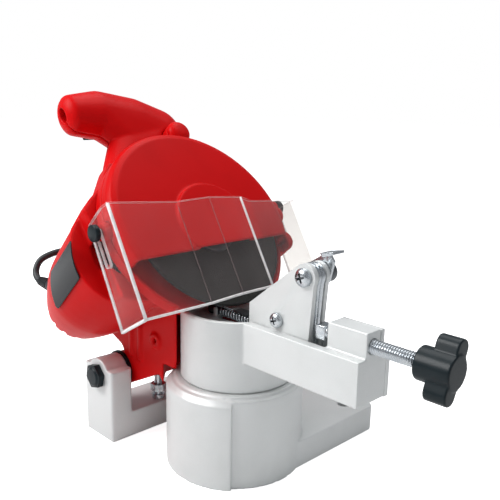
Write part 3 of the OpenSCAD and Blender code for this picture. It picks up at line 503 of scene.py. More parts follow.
@dataclass(frozen=True)
class ClearSheet:
    """Clear visor plastic: mostly see-through, with a gloss, a faint haze and scuffs."""

    name: str = "clear_sheet"
    tint: Colour = (0.985, 0.972, 0.970)
    haze: float = 0.010
    haze_colour: Colour = (0.90, 0.80, 0.80)
    haze_clean: float = 0.6
    haze_smeared: float = 0.8
    ior: float = 1.52
    gloss: float = 0.42
    roughness: float = 0.06
    roughness_swing: float = 0.10
    smear_size: float = 14 * MM
    smear_stretch: Point = (1, 1, 0.4)
    smear_band: Pair = (0.35, 0.8)
    smear_depth: float = 0.05 * MM
    bump_strength: float = 0.3
    scuff: float = 0.010
    scuff_size: float = 0.8 * MM
    scuff_band: Pair = (0.60, 0.72)

    def build(self) -> bpy.types.Material:
        """Makes the clear plastic, which throws no shadow of its gloss and haze.

        Returns:
            The material.
        """
        paint = Paint(self.name)
        smear = paint.noise(self.smear_size, MANY_OCTAVES, self.smear_stretch)
        smear = smear.spread(*self.smear_band)
        scuffed = paint.noise(self.scuff_size, SOME_OCTAVES).spread(*self.scuff_band)
        paint.dress(
            Base_Color=self.haze_colour,
            Roughness=self.roughness + smear * self.roughness_swing,
            Normal=paint.bump(smear, self.smear_depth, self.bump_strength),
        )
        facing = self.fresnel(paint)
        hazy = self.haze * (self.haze_clean + smear * self.haze_smeared)
        shadow = Value(paint, paint.node("ShaderNodeLightPath", {}, {}).outputs["Is Shadow Ray"])
        cover = (facing * self.gloss + hazy + scuffed * self.scuff) * (1.0 - shadow)
        return paint.see_through(cover, self.tint)

    def fresnel(self, paint: Paint) -> Value:
        """Gloss that grows at a flat angle, the same from both sides of the sheet.

        The Fresnel node turns its ratio over on a back face, and the ratio here is
        turned over there too, so that the sheet's far side isn't a mirror.

        Args:
            paint: the material.

        Returns:
            The share of light that the surface throws back.
        """
        back = Value(paint, paint.node("ShaderNodeNewGeometry", {}, {}).outputs["Backfacing"])
        ratio = self.ior - back * (self.ior - 1 / self.ior)
        return Value(paint, paint.node("ShaderNodeFresnel", {}, {"IOR": ratio}).outputs[0])


@dataclass(frozen=True)
class BrightEdge:
    """Coat of painted light on cut edges and tight bends of clear plastic: by default a near-white painted
    highlight.
    """

    name: str = "painted_highlight_edge"
    colour: Colour = (0.93, 0.93, 0.93)
    cover: float = 0.86
    cover_drop: float = 0.25
    tint: Colour = (0.97, 0.96, 0.96)
    roughness: float = 0.16
    ripple_size: float = 5 * MM
    ripple_band: Pair = (0.3, 0.8)
    ripple_depth: float = 0.05 * MM
    bump_strength: float = 0.3

    def build(self) -> bpy.types.Material:
        """Makes the coat of painted light, milky and slightly rippled.

        Returns:
            The material.
        """
        paint = Paint(self.name)
        ripple = paint.noise(self.ripple_size, SOME_OCTAVES).spread(*self.ripple_band)
        paint.dress(
            Base_Color=self.colour,
            Roughness=self.roughness,
            Normal=paint.bump(ripple, self.ripple_depth, self.bump_strength),
        )
        return paint.see_through(self.cover - ripple * self.cover_drop, self.tint)


@dataclass(frozen=True)
class PaleFloor:
    """Floor that reads as white to the camera and still takes a shadow."""

    name: str = "pale_floor"
    colour: Colour = (0.82, 0.82, 0.82)
    roughness: float = 0.9
    unlit: Colour = (0.0, 0.0, 0.0)
    lift: Colour = (0.80, 0.80, 0.80)

    def build(self) -> bpy.types.Material:
        """Makes the floor, whose lift only the camera sees.

        Returns:
            The material.
        """
        paint = Paint(self.name)
        seen = Value(paint, paint.node("ShaderNodeLightPath", {}, {}).outputs["Is Camera Ray"])
        return paint.dress(
            Base_Color=self.colour,
            Roughness=self.roughness,
            Specular_IOR_Level=0.0,
            Emission_Color=paint.mix(seen, self.unlit, self.lift),
            Emission_Strength=1.0,
        )


class Finish(Enum):
    """The finishes of the sharpener's pieces."""

    CAST = CastPaint()
    RED = RedShell()
    BLACK = BlackPlastic()
    GLOSS = BlackPlastic(
        "gloss_black",
        colour=(0.010, 0.012, 0.014),
        worn=(0.016, 0.018, 0.020),
        roughness=0.16,
        grain_depth=0.004 * MM,
    )
    ZINC = BareMetal()
    DARK = BareMetal("dark_steel", colour=(0.10, 0.11, 0.12), tint=(0.16, 0.17, 0.18), roughness=0.36)
    COPPER = BareMetal("copper", colour=(0.62, 0.28, 0.16), tint=(0.48, 0.20, 0.11), roughness=0.3)
    BRASS = BareMetal("brass_pin", colour=(0.66, 0.58, 0.36), tint=(0.54, 0.48, 0.33), roughness=0.22)
    GRIT = BondedGrit()
    RUBBER = CordRubber()
    CLEAR = ClearSheet()
    # Painted reflection: a greyer, hazier copy of the clear sheet for the visor's far wing.
    WING_REFLECTION = ClearSheet("clear_wing_reflection", tint=(0.90, 0.895, 0.885), haze=0.022)
    # Painted highlight on the visor's cut edges, narrow faces and bends.
    HIGHLIGHT_EDGE = BrightEdge()
    # Painted reflection: a faint dark pink line along the visor's middle bends.
    FAINT = BrightEdge("faint_bend_reflection", colour=(0.30, 0.22, 0.22), cover=0.40)
    FLOOR = PaleFloor()


class Wardrobe:
    """Builds each finish once and hands it out."""

    def __init__(self) -> None:
        """Starts empty."""
        self.made: dict[Finish, bpy.types.Material] = {}

    def get(self, finish: Finish) -> bpy.types.Material:
        """The material of a finish.

        Args:
            finish: the finish, which is built the first time it is asked for.

        Returns:
            Its material.
        """
        if finish not in self.made:
            self.made[finish] = finish.value.build()
        return self.made[finish]


# ---------------------------------------------------------------- mesh helpers


def circle(radius: float, sides: int) -> list[Pair]:
    """Evenly spaced points on a circle round zero."""
    angles = [2 * math.pi * k / sides for k in range(sides)]
    return [(radius * math.cos(angle), radius * math.sin(angle)) for angle in angles]


def skin(shape: bmesh.types.BMesh, rings: Sequence[list], capped: bool = False) -> None:
    """Puts faces between each ring of points and the next.

    Args:
        shape: the mesh that owns the points.
        rings: rings of one and the same number of points, or of a single point.
        capped: whether a face closes the first ring and the last one.
    """
    sides = max(len(ring) for ring in rings)
    for low, high in zip(rings, rings[1:]):
        for k in range(sides):
            after = (k + 1) % sides
            corners = [low[k % len(low)], low[after % len(low)]]
            corners += [high[after % len(high)], high[k % len(high)]]
            unique = list(dict.fromkeys(corners))
            if len(unique) > 2:
                shape.faces.new(unique)
    if capped:
        shape.faces.new(list(reversed(rings[0])))
        shape.faces.new(rings[-1])


def spline(points: Sequence[Vector], steps: int) -> list[Vector]:
    """A smooth line through points, as the CAD sweeps its cord.

    Args:
        points: the route's points.
        steps: pieces between two points.

    Returns:
        The denser points.
    """
    last = len(points) - 1
    dense = []
    for i in range(last):
        p0, p1 = points[max(i - 1, 0)], points[i]
        p2, p3 = points[i + 1], points[min(i + 2, last)]
        for j in range(steps):
            t = j / steps
            dense.append(
                0.5
                * (
                    2 * p1
                    + (p2 - p0) * t
                    + (2 * p0 - 5 * p1 + 4 * p2 - p3) * t * t
                    + (3 * p1 - p0 - 3 * p2 + p3) * t * t * t
                )
            )
    return dense + [points[last]]


def line_length(points: Sequence[Vector]) -> float:
    """Length of a line through points."""
    return sum((b - a).length for a, b in zip(points, points[1:]))


class Workshop:
    """Makes mesh pieces, dresses them and hangs them on their bodies."""

    def __init__(self, frame: dict) -> None:
        """Keeps the frame and an empty wardrobe.
        """
        self.frame = frame
        self.wardrobe = Wardrobe()

    def node(self, name: str) -> bpy.types.Object:
        """The CAD node of that name."""
        return self.frame["nodes"][name]

    def hang(
        self,
        piece: bpy.types.Object,
        finish: Finish,
        body: str,
        nodes: Sequence[str] = (),
        crease: float | None = 40.0,
    ) -> bpy.types.Object:
        """Dresses a piece and hangs it on its body.

        Args:
            piece: the new object, which keeps its own materials if it has any.
            finish: its finish.
            body: the CAD body it moves with.
            nodes: CAD nodes that it stands for.
            crease: angle past which an edge stays sharp, or None.

        Returns:
            The piece.
        """
        if not piece.data.materials:
            piece.data.materials.append(self.wardrobe.get(finish))
        self.smooth(piece)
        if crease is not None:
            piece.data.set_sharp_from_angle(angle=math.radians(crease))
        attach(piece, body)
        if nodes:
            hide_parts(*nodes)
        log.info("%s: %s on %s", piece.name, finish.name.lower(), body)
        return piece

    def dress(self, finish: Finish, nodes: Sequence[str]) -> None:
        """Gives CAD nodes that stay a better material.

        Args:
            finish: the finish they get.
            nodes: their names.
        """
        for name in nodes:
            data = self.node(name).data
            data.materials.clear()
            data.materials.append(self.wardrobe.get(finish))
            log.info("%s: CAD node in %s", name, finish.name.lower())

    def smooth(self, piece: bpy.types.Object) -> None:
        """Shades every face of a piece smoothly."""
        piece.data.polygons.foreach_set("use_smooth", [True] * len(piece.data.polygons))

    def from_shape(self, name: str, shape: bmesh.types.BMesh) -> bpy.types.Object:
        """Turns a finished shape into an object of the scene.

        Args:
            name: name of the new object.
            shape: the shape, which is freed.

        Returns:
            The new object.
        """
        mesh = bpy.data.meshes.new(name)
        shape.to_mesh(mesh)
        shape.free()
        piece = bpy.data.objects.new(name, mesh)
        bpy.context.scene.collection.objects.link(piece)
        return piece

    def settle(self, piece: bpy.types.Object) -> bpy.types.Object:
        """Applies a piece's modifiers.

        Args:
            piece: the object.

        Returns:
            The same object with its new mesh.
        """
        graph = bpy.context.evaluated_depsgraph_get()
        mesh = bpy.data.meshes.new_from_object(piece.evaluated_get(graph))
        piece.modifiers.clear()
        piece.data = mesh
        return piece

    def copy_of(self, name: str, node: str) -> bpy.types.Object:
        """A new object with a welded copy of a CAD node's mesh.

        Args:
            name: name of the new object.
            node: the CAD node.

        Returns:
            The new object.
        """
        shape = bmesh.new()
        shape.from_mesh(self.node(node).data)
        bmesh.ops.remove_doubles(shape, verts=shape.verts, dist=WELD_DISTANCE)
        return self.from_shape(name, shape)

    def join_flat_faces(self, mesh: bpy.types.Mesh) -> None:
        """Joins the faces of a mesh that lie in one plane.

        Args:
            mesh: the mesh, which is changed.
        """
        shape = bmesh.new()
        shape.from_mesh(mesh)
        limit = math.radians(FLAT_ANGLE)
        bmesh.ops.dissolve_limit(shape, angle_limit=limit, verts=shape.verts, edges=shape.edges)
        shape.to_mesh(mesh)
        shape.free()

    def moulded(self, name: str, node: str, cell: float, passes: int, keep: float) -> bpy.types.Object:
        """A copy of a CAD node with every edge and corner rounded, as a mould leaves them.

        Args:
            name: name of the new object.
            node: the CAD node.
            cell: width of a cell of the new mesh; the rounding is about two cells.
            passes: rounds of smoothing.
            keep: share of the faces that stay.

        Returns:
            The new object.
        """
        piece = self.copy_of(name, node)
        remesh = piece.modifiers.new("cells", "REMESH")
        remesh.mode = "VOXEL"
        remesh.voxel_size = cell
        smooth = piece.modifiers.new("round", "SMOOTH")
        smooth.factor = SMOOTH_FACTOR
        smooth.iterations = passes
        thin = piece.modifiers.new("thin", "DECIMATE")
        thin.ratio = keep
        return self.settle(piece)

    def bevelled(self, name: str, node: str, width: float, steps: int) -> bpy.types.Object:
        """A copy of a CAD node with its sharp edges bevelled.

        Args:
            name: name of the new object.
            node: the CAD node.
            width: width of the bevel in metres.
            steps: segments across the bevel.

        Returns:
            The new object.
        """
        piece = self.copy_of(name, node)
        self.join_flat_faces(piece.data)
        bevel = piece.modifiers.new("edge", "BEVEL")
        bevel.width = width
        bevel.segments = steps
        bevel.limit_method = "ANGLE"
        bevel.angle_limit = math.radians(BEVEL_ANGLE)
        bevel.use_clamp_overlap = True
        bevel.harden_normals = False
        return self.settle(piece)

    def lathe(self, name: str, profile: Sequence[Pair], sides: int) -> bpy.types.Object:
        """A turned piece about Z.

        Args:
            name: name of the new object.
            profile: (radius, height) points from one end to the other.
            sides: facets round it.

        Returns:
            The new object, still at the origin.
        """
        shape = bmesh.new()
        rings = []
        for radius, height in profile:
            spots = circle(radius, sides) if radius >= SMALLEST_RADIUS else [(0, 0)]
            rings.append([shape.verts.new((x, y, height)) for x, y in spots])
        skin(shape, rings)
        bmesh.ops.recalc_face_normals(shape, faces=shape.faces)
        return self.from_shape(name, shape)

    def tube(self, name: str, path: Sequence[Vector], radius: float, sides: int) -> bpy.types.Object:
        """A closed tube along a path.

        Args:
            name: name of the new object.
            path: points of the centre line.
            radius: the tube's radius.
            sides: facets round it.

        Returns:
            The new object.
        """
        shape = bmesh.new()
        along = (path[1] - path[0]).normalized()
        side = along.orthogonal().normalized()
        rings = []
        for i, point in enumerate(path):
            ahead = path[min(i + 1, len(path) - 1)] - path[max(i - 1, 0)]
            turn = along.rotation_difference(ahead.normalized())
            along = ahead.normalized()
            side = (turn @ side).normalized()
            across = along.cross(side)
            spots = [point + side * a + across * b for a, b in circle(radius, sides)]
            rings.append([shape.verts.new(spot) for spot in spots])
        skin(shape, rings, capped=True)
        return self.from_shape(name, shape)


class Buildable(Protocol):
    """What makes a piece in the workshop."""

    def build(self, shop: Workshop) -> bpy.types.Object:
        """Makes the piece and hangs it on its body."""


@dataclass(frozen=True)
class Moulding:
    """A piece that stands for one CAD node, with its corners rounded all over."""

    name: str
    node: str
    finish: Finish
    body: str
    cell: float
    passes: int
    keep: float = 0.35

    def build(self, shop: Workshop) -> bpy.types.Object:
        """Makes the piece and hangs it on its body."""
        piece = shop.moulded(self.name, self.node, self.cell, self.passes, self.keep)
        return shop.hang(piece, self.finish, self.body, [self.node], None)


@dataclass(frozen=True)
class Bevelling:
    """A piece that stands for one CAD node, with its edges bevelled."""

    name: str
    node: str
    finish: Finish
    body: str
    width: float
    steps: int = 2
    crease: float = 40.0

    def build(self, shop: Workshop) -> bpy.types.Object:
        """Makes the piece and hangs it on its body."""
        piece = shop.bevelled(self.name, self.node, self.width, self.steps)
        return shop.hang(piece, self.finish, self.body, [self.node], self.crease)


@dataclass
class SubAssembly:
    """Pieces that are made new, and CAD nodes that stay and are only dressed."""

    pieces: tuple[Buildable, ...] = ()
    kept_nodes: tuple[tuple[Finish, tuple[str, ...]], ...] = ()

    def build(self, shop: Workshop) -> None:
        """Makes the pieces and dresses the nodes.

        Args:
            shop: the workshop.
        """
        for piece in self.pieces:
            piece.build(shop)
        for finish, nodes in self.kept_nodes:
            shop.dress(finish, nodes)


# ---------------------------------------------------------------- studio


@dataclass(frozen=True)
class Lamp:
    """One soft square lamp; its power is in watts."""

    name: str
    place: Point
    aim: Point
    size: float
    power: float

    def build(self) -> None:
        """Hangs the lamp and turns it to its aim."""
        data = bpy.data.lights.new(self.name, "AREA")
        data.size = self.size
        data.energy = self.power
        lamp = bpy.data.objects.new(self.name, data)
        bpy.context.scene.collection.objects.link(lamp)
        lamp.location = self.place
        lamp.rotation_mode = "QUATERNION"
        lamp.rotation_quaternion = (Vector(self.aim) - Vector(self.place)).to_track_quat("-Z", "Y")


@dataclass
class Studio:
    """Camera, lamps, floor and background."""

    camera_place: Point = (0.3006, -0.2871, 0.2318)
    camera_yaw: float = 45.347
    camera_pitch: float = 13.015
    camera_roll: float = 1.11
    focal_pixels: float = 683.4
    image_pixels: float = 500.0
    centre_drop_pixels: float = 6.18
    sensor_mm: float = 36.0
    clip: Pair = (0.01, 20.0)
    surround_colour: Colour = (0.92, 0.95, 1.0)
    surround_strength: float = 0.33
    backdrop_colour: Colour = (1.0, 1.0, 1.0)
    backdrop_strength: float = 1.0
    floor_half: float = 6.0
    lamps: tuple[Lamp, ...] = (
        Lamp("key", place=(-0.55, -0.85, 0.95), aim=(-0.02, 0.0, 0.10), size=0.7, power=16.5),
        Lamp("fill", place=(0.95, -0.15, 0.55), aim=(0.0, 0.0, 0.10), size=0.8, power=0.5),
        Lamp("top", place=(-0.15, 0.25, 1.10), aim=(-0.03, 0.0, 0.08), size=0.8, power=6.5),
    )

    def set_camera(self) -> None:
        """Places the camera at the photograph's viewpoint."""
        data = bpy.data.cameras.new("camera")
        data.sensor_width = self.sensor_mm
        data.lens = self.sensor_mm * self.focal_pixels / self.image_pixels
        data.shift_y = self.centre_drop_pixels / self.image_pixels
        data.clip_start, data.clip_end = self.clip
        camera = bpy.data.objects.new("camera", data)
        bpy.context.scene.collection.objects.link(camera)
        yaw = Matrix.Rotation(math.radians(self.camera_yaw), 4, "Z")
        pitch = Matrix.Rotation(math.radians(90 - self.camera_pitch), 4, "X")
        roll = Matrix.Rotation(math.radians(self.camera_roll), 4, "Z")
        camera.matrix_world = Matrix.Translation(self.camera_place) @ yaw @ pitch @ roll
        bpy.context.scene.camera = camera

    def set_world(self) -> None:
        """Sets a soft white surround that the camera sees as plain white."""
        world = bpy.data.worlds.new("surround")
        bpy.context.scene.world = world
        world.use_nodes = True
        graph = NodeGraph(world.node_tree)
        inputs = {"Color": self.surround_colour, "Strength": self.surround_strength}
        soft = graph.node("ShaderNodeBackground", {}, inputs)
        inputs = {"Color": self.backdrop_colour, "Strength": self.backdrop_strength}
        white = graph.node("ShaderNodeBackground", {}, inputs)
        rays = graph.node("ShaderNodeLightPath", {}, {}).outputs
        inputs = {0: rays["Is Camera Ray"], 1: rays["Is Transmission Ray"]}
        seen = graph.node("ShaderNodeMath", {"operation": "MAXIMUM"}, inputs)
        inputs = {0: seen.outputs[0], 1: soft.outputs[0], 2: white.outputs[0]}
        mixed = graph.node("ShaderNodeMixShader", {}, inputs)
        graph.node("ShaderNodeOutputWorld", {}, {"Surface": mixed.outputs[0]})

    def set_floor(self, shop: Workshop) -> None:
        """Lays a wide flat floor at zero.

        Args:
            shop: the workshop.
        """
        shape = bmesh.new()
        half = self.floor_half
        corners = [(-half, -half), (half, -half), (half, half), (-half, half)]
        shape.faces.new([shape.verts.new((x, y, 0.0)) for x, y in corners])
        floor = shop.from_shape("floor", shape)
        floor.data.materials.append(shop.wardrobe.get(Finish.FLOOR))

    def build(self, shop: Workshop) -> None:
        """Sets the whole studio.

        Args:
            shop: the workshop.
        """
        self.set_camera()
        self.set_world()
        self.set_floor(shop)
        for lamp in self.lamps:
            lamp.build()
        bpy.context.scene.view_settings.view_transform = "Standard"
        log.info("studio set")


# ---------------------------------------------------------------- mains lead


@dataclass(frozen=True)
class CordCoil:
    """Round coil of the spare cord, two layers deep, on the floor."""

    centre: Pair = (-0.162, 0.168)
    middle_radius: float = 27.6 * MM
    pitch: float = 5.1 * MM
    turns: int = 8
    turn_steps: int = 24
    height: float = 2.4 * MM
    climb_turns: float = 0.25
    tail: float = 30 * MM

    def outer_radius(self) -> float:
        """Radius of the outermost turn's centre line."""
        return self.middle_radius + self.pitch * self.turns / 4

    def inner_radius(self) -> float:
        """Radius of the innermost turn's centre line."""
        return self.outer_radius() - self.pitch * self.turns / 2

    def points(self) -> list[Vector]:
        """Turns that spiral in on the floor and out again on top.

        Returns:
            The centre line's points.
        """
        x0, y0 = self.centre
        half = self.turns // 2 * self.turn_steps
        points = []
        for i in range(2 * half + 1):
            inward = min(i, 2 * half - i)
            angle = math.radians(180 - i * 360 / self.turn_steps)
            radius = self.outer_radius() - self.pitch * inward / self.turn_steps
            climb = min(1.0, max(0.0, (i - half) / self.turn_steps / self.climb_turns))
            x = x0 + radius * math.cos(angle)
            y = y0 + radius * math.sin(angle)
            points.append(Vector((x, y, self.height + self.pitch * climb)))
        points.append(Vector((x0 - self.outer_radius(), y0 + self.tail, self.height + self.pitch)))
        return points


@dataclass(frozen=True)
class MainsPlug:
    """Moulded plug with a ribbed neck and two pins, on the CAD plug's place."""

    body_sides: int = 48
    neck_radius_mm: float = 4.1
    rib_count: int = 5
    rib_start_mm: float = 1.6
    rib_step_mm: float = 2.2
    rib_radius_mm: float = 4.3
    rib_growth_mm: float = 0.45
    rib_height_mm: float = 0.5
    rib_width_mm: float = 1.3
    shoulders_mm: tuple[Pair, ...] = ((-0.6, 13.6), (0, 15), (0, 30.4), (-0.7, 31.8), (-1.6, 32))
    face_mm: float = 32
    pin_sides: int = 24
    pin_places_mm: tuple[tuple[str, float], ...] = (("left", -4.8), ("right", 4.8))
    pin_profile_mm: tuple[Pair, ...] = (
        (0, 31.6), (2.0, 31.6), (2.0, 40), (1.9, 40.2), (1.9, 47), (1.2, 47.9), (0, 48),
    )

    def profile(self, radius: float) -> list[Pair]:
        """The body's outline from the cord's end to its face.

        Args:
            radius: the body's largest radius in metres.

        Returns:
            (radius, height) points in metres.
        """
        points = [(0.0, 0.0), (self.neck_radius_mm * MM, 0.0)]
        for i in range(self.rib_count):
            at = (self.rib_start_mm + i * self.rib_step_mm) * MM
            groove = (self.rib_radius_mm + i * self.rib_growth_mm) * MM
            crest = (groove + self.rib_height_mm * MM, at + self.rib_height_mm * MM)
            points += [(groove, at), crest, (groove, at + self.rib_width_mm * MM)]
        points += [(radius + less * MM, at * MM) for less, at in self.shoulders_mm]
        return points + [(0.0, self.face_mm * MM)]

    def build(self, shop: Workshop) -> tuple[bpy.types.Object, list[bpy.types.Object]]:
        """Makes the plug.

        Args:
            shop: the workshop.

        Returns:
            The body and the pins.
        """
        low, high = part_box("mains_plug")
        centre = Vector(((low.x + high.x) / 2, low.y, (low.z + high.z) / 2))
        body = shop.lathe("mains_plug_body", self.profile((high.x - low.x) / 2), self.body_sides)
        pins = []
        for hand, place in self.pin_places_mm:
            profile = [(radius * MM, at * MM) for radius, at in self.pin_profile_mm]
            pin = shop.lathe(f"plug_pin_{hand}", profile, self.pin_sides)
            pin.data.transform(Matrix.Translation((place * MM, 0, 0)))
            pins.append(pin)
        for part in (body, *pins):
            part.data.transform(Matrix.Translation(centre) @ Matrix.Rotation(math.radians(-90), 4, "X"))
        shop.hang(body, Finish.RUBBER, "base", ["mains_plug"])
        for pin in pins:
            shop.hang(pin, Finish.BRASS, "base")
        return body, pins


@dataclass(frozen=True)
class StrainRelief:
    """Tapered, ribbed sleeve that points to the left; lengths run from its collar."""

    root: Point = (-0.1101, -0.067, 0.1046)
    bore: float = 2.3 * MM
    radius: float = 4.4 * MM
    sides: int = 36
    sunk_mm: float = 0.2
    bore_gap_mm: float = 0.05
    collar_mm: float = 5.5
    rib_count: int = 7
    rib_start_mm: float = 6.2
    rib_room_mm: float = 13.2
    rib_mm: tuple[Pair, ...] = ((-0.55, 0), (-0.55, 0.6), (0, 0.8), (-0.1, 1.6))
    wall_mm: float = 0.8
    tip_mm: float = 19.8
    tip_walls_mm: Pair = (0.5, 0.03)

    def profile(self) -> list[Pair]:
        """The sleeve's closed outline.

        Returns:
            (radius, height) points in metres.
        """
        foot = (self.bore + self.bore_gap_mm * MM, -self.sunk_mm * MM)
        points = [foot, (self.radius, 0.0), (self.radius, self.collar_mm * MM)]
        for i in range(self.rib_count):
            share = i / self.rib_count
            radius = self.radius - share * (self.radius - self.bore - self.wall_mm * MM)
            at = self.rib_start_mm * MM + share * self.rib_room_mm * MM
            points += [(radius + less * MM, at + along * MM) for less, along in self.rib_mm]
        points += [(self.bore + wall * MM, self.tip_mm * MM) for wall in self.tip_walls_mm]
        return points + [foot]

    def build(self, shop: Workshop) -> bpy.types.Object:
        """Makes the sleeve.

        Args:
            shop: the workshop.

        Returns:
            The sleeve.
        """
        piece = shop.lathe("strain_relief_sleeve", self.profile(), self.sides)
        turn = Matrix.Rotation(math.radians(-90), 4, "Y")
        piece.data.transform(Matrix.Translation(self.root) @ turn)
        return shop.hang(piece, Finish.RUBBER, "head", ["strain_relief"])


@dataclass(frozen=True)
class CoilTie:
    """A strap round the coil's turns, on the side away from the object."""

    half_width: float = 4.5 * MM
    thickness: float = 0.7 * MM
    corner: float = 1.8 * MM
    corner_steps: int = 5
    foot: float = 0.05 * MM
    lowest: float = 0.02 * MM
    inner_gap: float = 0.4 * MM
    outer_gap: float = 0.5 * MM

    def loop(self, inner: float, outer: float, top: float) -> list[Pair]:
        """The strap's inner line, seen along Y.

        Args:
            inner: X of its side near the coil's centre.
            outer: X of its other side.
            top: Z of its top.

        Returns:
            (x, z) points, with round corners.
        """
        left, right = inner + self.corner, outer - self.corner
        low, high = self.foot + self.corner, top - self.corner
        points = []
        for x, z, start in ((right, high, 90), (right, low, 0), (left, low, -90), (left, high, -180)):
            for k in range(self.corner_steps + 1):
                angle = math.radians(start - 90 * k / self.corner_steps)
                points.append((x + self.corner * math.cos(angle), z + self.corner * math.sin(angle)))
        return points

    def build(self, shop: Workshop, coil: CordCoil, cord_radius: float) -> bpy.types.Object:
        """Makes the strap.

        Args:
            shop: the workshop.
            coil: the coil that it holds.
            cord_radius: the cord's radius.

        Returns:
            The strap.
        """
        inner = coil.inner_radius() - cord_radius - self.inner_gap
        outer = coil.outer_radius() + cord_radius + self.outer_gap
        top = coil.height + coil.pitch + cord_radius + self.outer_gap
        middle = Vector(((inner + outer) / 2, top / 2))
        x0, y0 = coil.centre
        shape = bmesh.new()
        rings = []
        for x, z in self.loop(inner, outer, top):
            way = (Vector((x, z)) - middle).normalized() * self.thickness
            near, far = y0 - self.half_width, y0 + self.half_width
            out_x, out_z = x0 + x + way.x, max(self.lowest, z + way.y)
            spots = ((x0 + x, near, z), (x0 + x, far, z), (out_x, far, out_z), (out_x, near, out_z))
            rings.append([shape.verts.new(spot) for spot in spots])
        skin(shape, rings + rings[:1])
        bmesh.ops.recalc_face_normals(shape, faces=shape.faces)
        return shop.hang(shop.from_shape("coil_tie", shape), Finish.BLACK, "base")


@dataclass
class MainsLead:
    """The free cord with its coil, strain relief, tie and plug."""

    diameter: float = 4.6 * MM
    sides: int = 12
    exit: Point = (-0.112, -0.067, 0.1046)
    route_steps: int = 4
    line_steps: int = 2
    route_mm: tuple[Point, ...] = (
        (-112, -67, 104.6), (-117, -67, 104.6), (-123, -67, 104.6), (-128, -67, 104.6),
        (-132.5, -67, 105), (-137, -66.4, 107.5), (-139.6, -64.6, 112), (-140, -61, 116.8),
        (-138.5, -55, 120), (-137, -46, 121.8), (-138, -34, 121), (-142, -18, 115.5),
        (-147, -2, 105), (-152, 14, 92), (-158, 32, 71), (-164, 50, 47), (-171, 68, 26),
        (-180, 88, 10), (-189, 110, 2.4), (-196.5, 130, 2.4),
    )
    run_in_mm: tuple[float, ...] = (144, 155, 163.4)
    coil: CordCoil = CordCoil()
    plug: MainsPlug = MainsPlug()
    relief: StrainRelief = StrainRelief()
    tie: CoilTie = CoilTie()

    def route(self) -> list[Vector]:
        """The free stretch's points, the same as in the CAD source.

        Returns:
            The points in metres, the last of them straight along the coil's side.
        """
        side = (self.coil.centre[0] - self.coil.outer_radius()) / MM
        ends = [(side, y, self.coil.height / MM) for y in self.run_in_mm]
        return [Vector(point) * MM for point in (*self.route_mm, *ends)]

    def build(self, shop: Workshop) -> None:
        """Args:
            shop: the workshop.
        """
        line = spline(self.route(), self.route_steps)[:-1] + self.coil.points()
        smooth = spline(line, self.line_steps)
        cord = shop.tube("mains_cord_flex", smooth, self.diameter / 2, self.sides)
        plug, pins = self.plug.build(shop)
        relief = self.relief.build(shop)
        tie = self.tie.build(shop, self.coil, self.diameter / 2)
        cord.data.materials.append(shop.wardrobe.get(Finish.RUBBER))
        shop.smooth(cord)
        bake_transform(cord)
        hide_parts("mains_cord", "cord_coil")
        line_length(smooth)
        log.info("mains_cord_flex: rubber from base to head, %.3f m long", line_length(smooth))


# ---------------------------------------------------------------- castings and vise


@dataclass
class CastBase(SubAssembly):
    """Base casting with its boss, angle scale and hinge bracket, and the lock knob."""

    pieces: tuple[Buildable, ...] = (
        Moulding("base_body", "base_casting", Finish.CAST, "base", cell=0.75 * MM, passes=4),
        Bevelling("hinge_cap_pair", "hinge_caps", Finish.BLACK, "base", width=0.7 * MM, steps=3),
        Moulding("lock_knob_star", "lock_knob", Finish.BLACK, "lock_knob", cell=0.8 * MM, passes=5, keep=0.4),
    )
    kept_nodes: tuple[tuple[Finish, tuple[str, ...]], ...] = (
        (Finish.ZINC, ("hinge_bolt", "pivot_washer")),
    )


@dataclass(frozen=True)
class StopSpring:
    """The chain stop's spring, as a smooth round coil in place of the CAD's coarse one."""

    radius: float = 2.65 * MM
    wire: float = 1.1 * MM
    start: float = -4.9 * MM
    end: float = 26.6 * MM
    axis: Pair = (-8.8 * MM, 100.6 * MM)
    turns: int = 13
    turn_steps: int = 28
    sides: int = 10

    def build(self, shop: Workshop) -> bpy.types.Object:
        """Winds the spring about X.

        Args:
            shop: the workshop.

        Returns:
            The spring.
        """
        count = self.turns * self.turn_steps
        y0, z0 = self.axis
        path = []
        for i in range(count + 1):
            angle = 2 * math.pi * i / self.turn_steps
            x = self.start + (self.end - self.start) * i / count
            y = y0 + self.radius * math.cos(angle)
            path.append(Vector((x, y, z0 + self.radius * math.sin(angle))))
        coil = shop.tube("stop_spring_coil", path, self.wire / 2, self.sides)
        return shop.hang(coil, Finish.ZINC, "table", ["stop_spring"], None)


@dataclass
class SwivelTable(SubAssembly):
    """Swivel table with its arm, and the chain stop with its spring and screw."""

    pieces: tuple[Buildable, ...] = (
        Moulding("table_body", "swivel_table", Finish.CAST, "table", cell=0.7 * MM, passes=3),
        StopSpring(),
        Bevelling("clamp_lever_plate", "clamp_lever", Finish.CAST, "table", width=0.7 * MM, steps=3),
        Bevelling("stop_slider_block", "stop_slider", Finish.DARK, "chain_stop", width=0.4 * MM),
        Bevelling("stop_screw_rod", "stop_screw", Finish.DARK, "stop_screw", width=0.3 * MM),
    )
    kept_nodes: tuple[tuple[Finish, tuple[str, ...]], ...] = ((Finish.ZINC, ("pivot_bolt",)),)


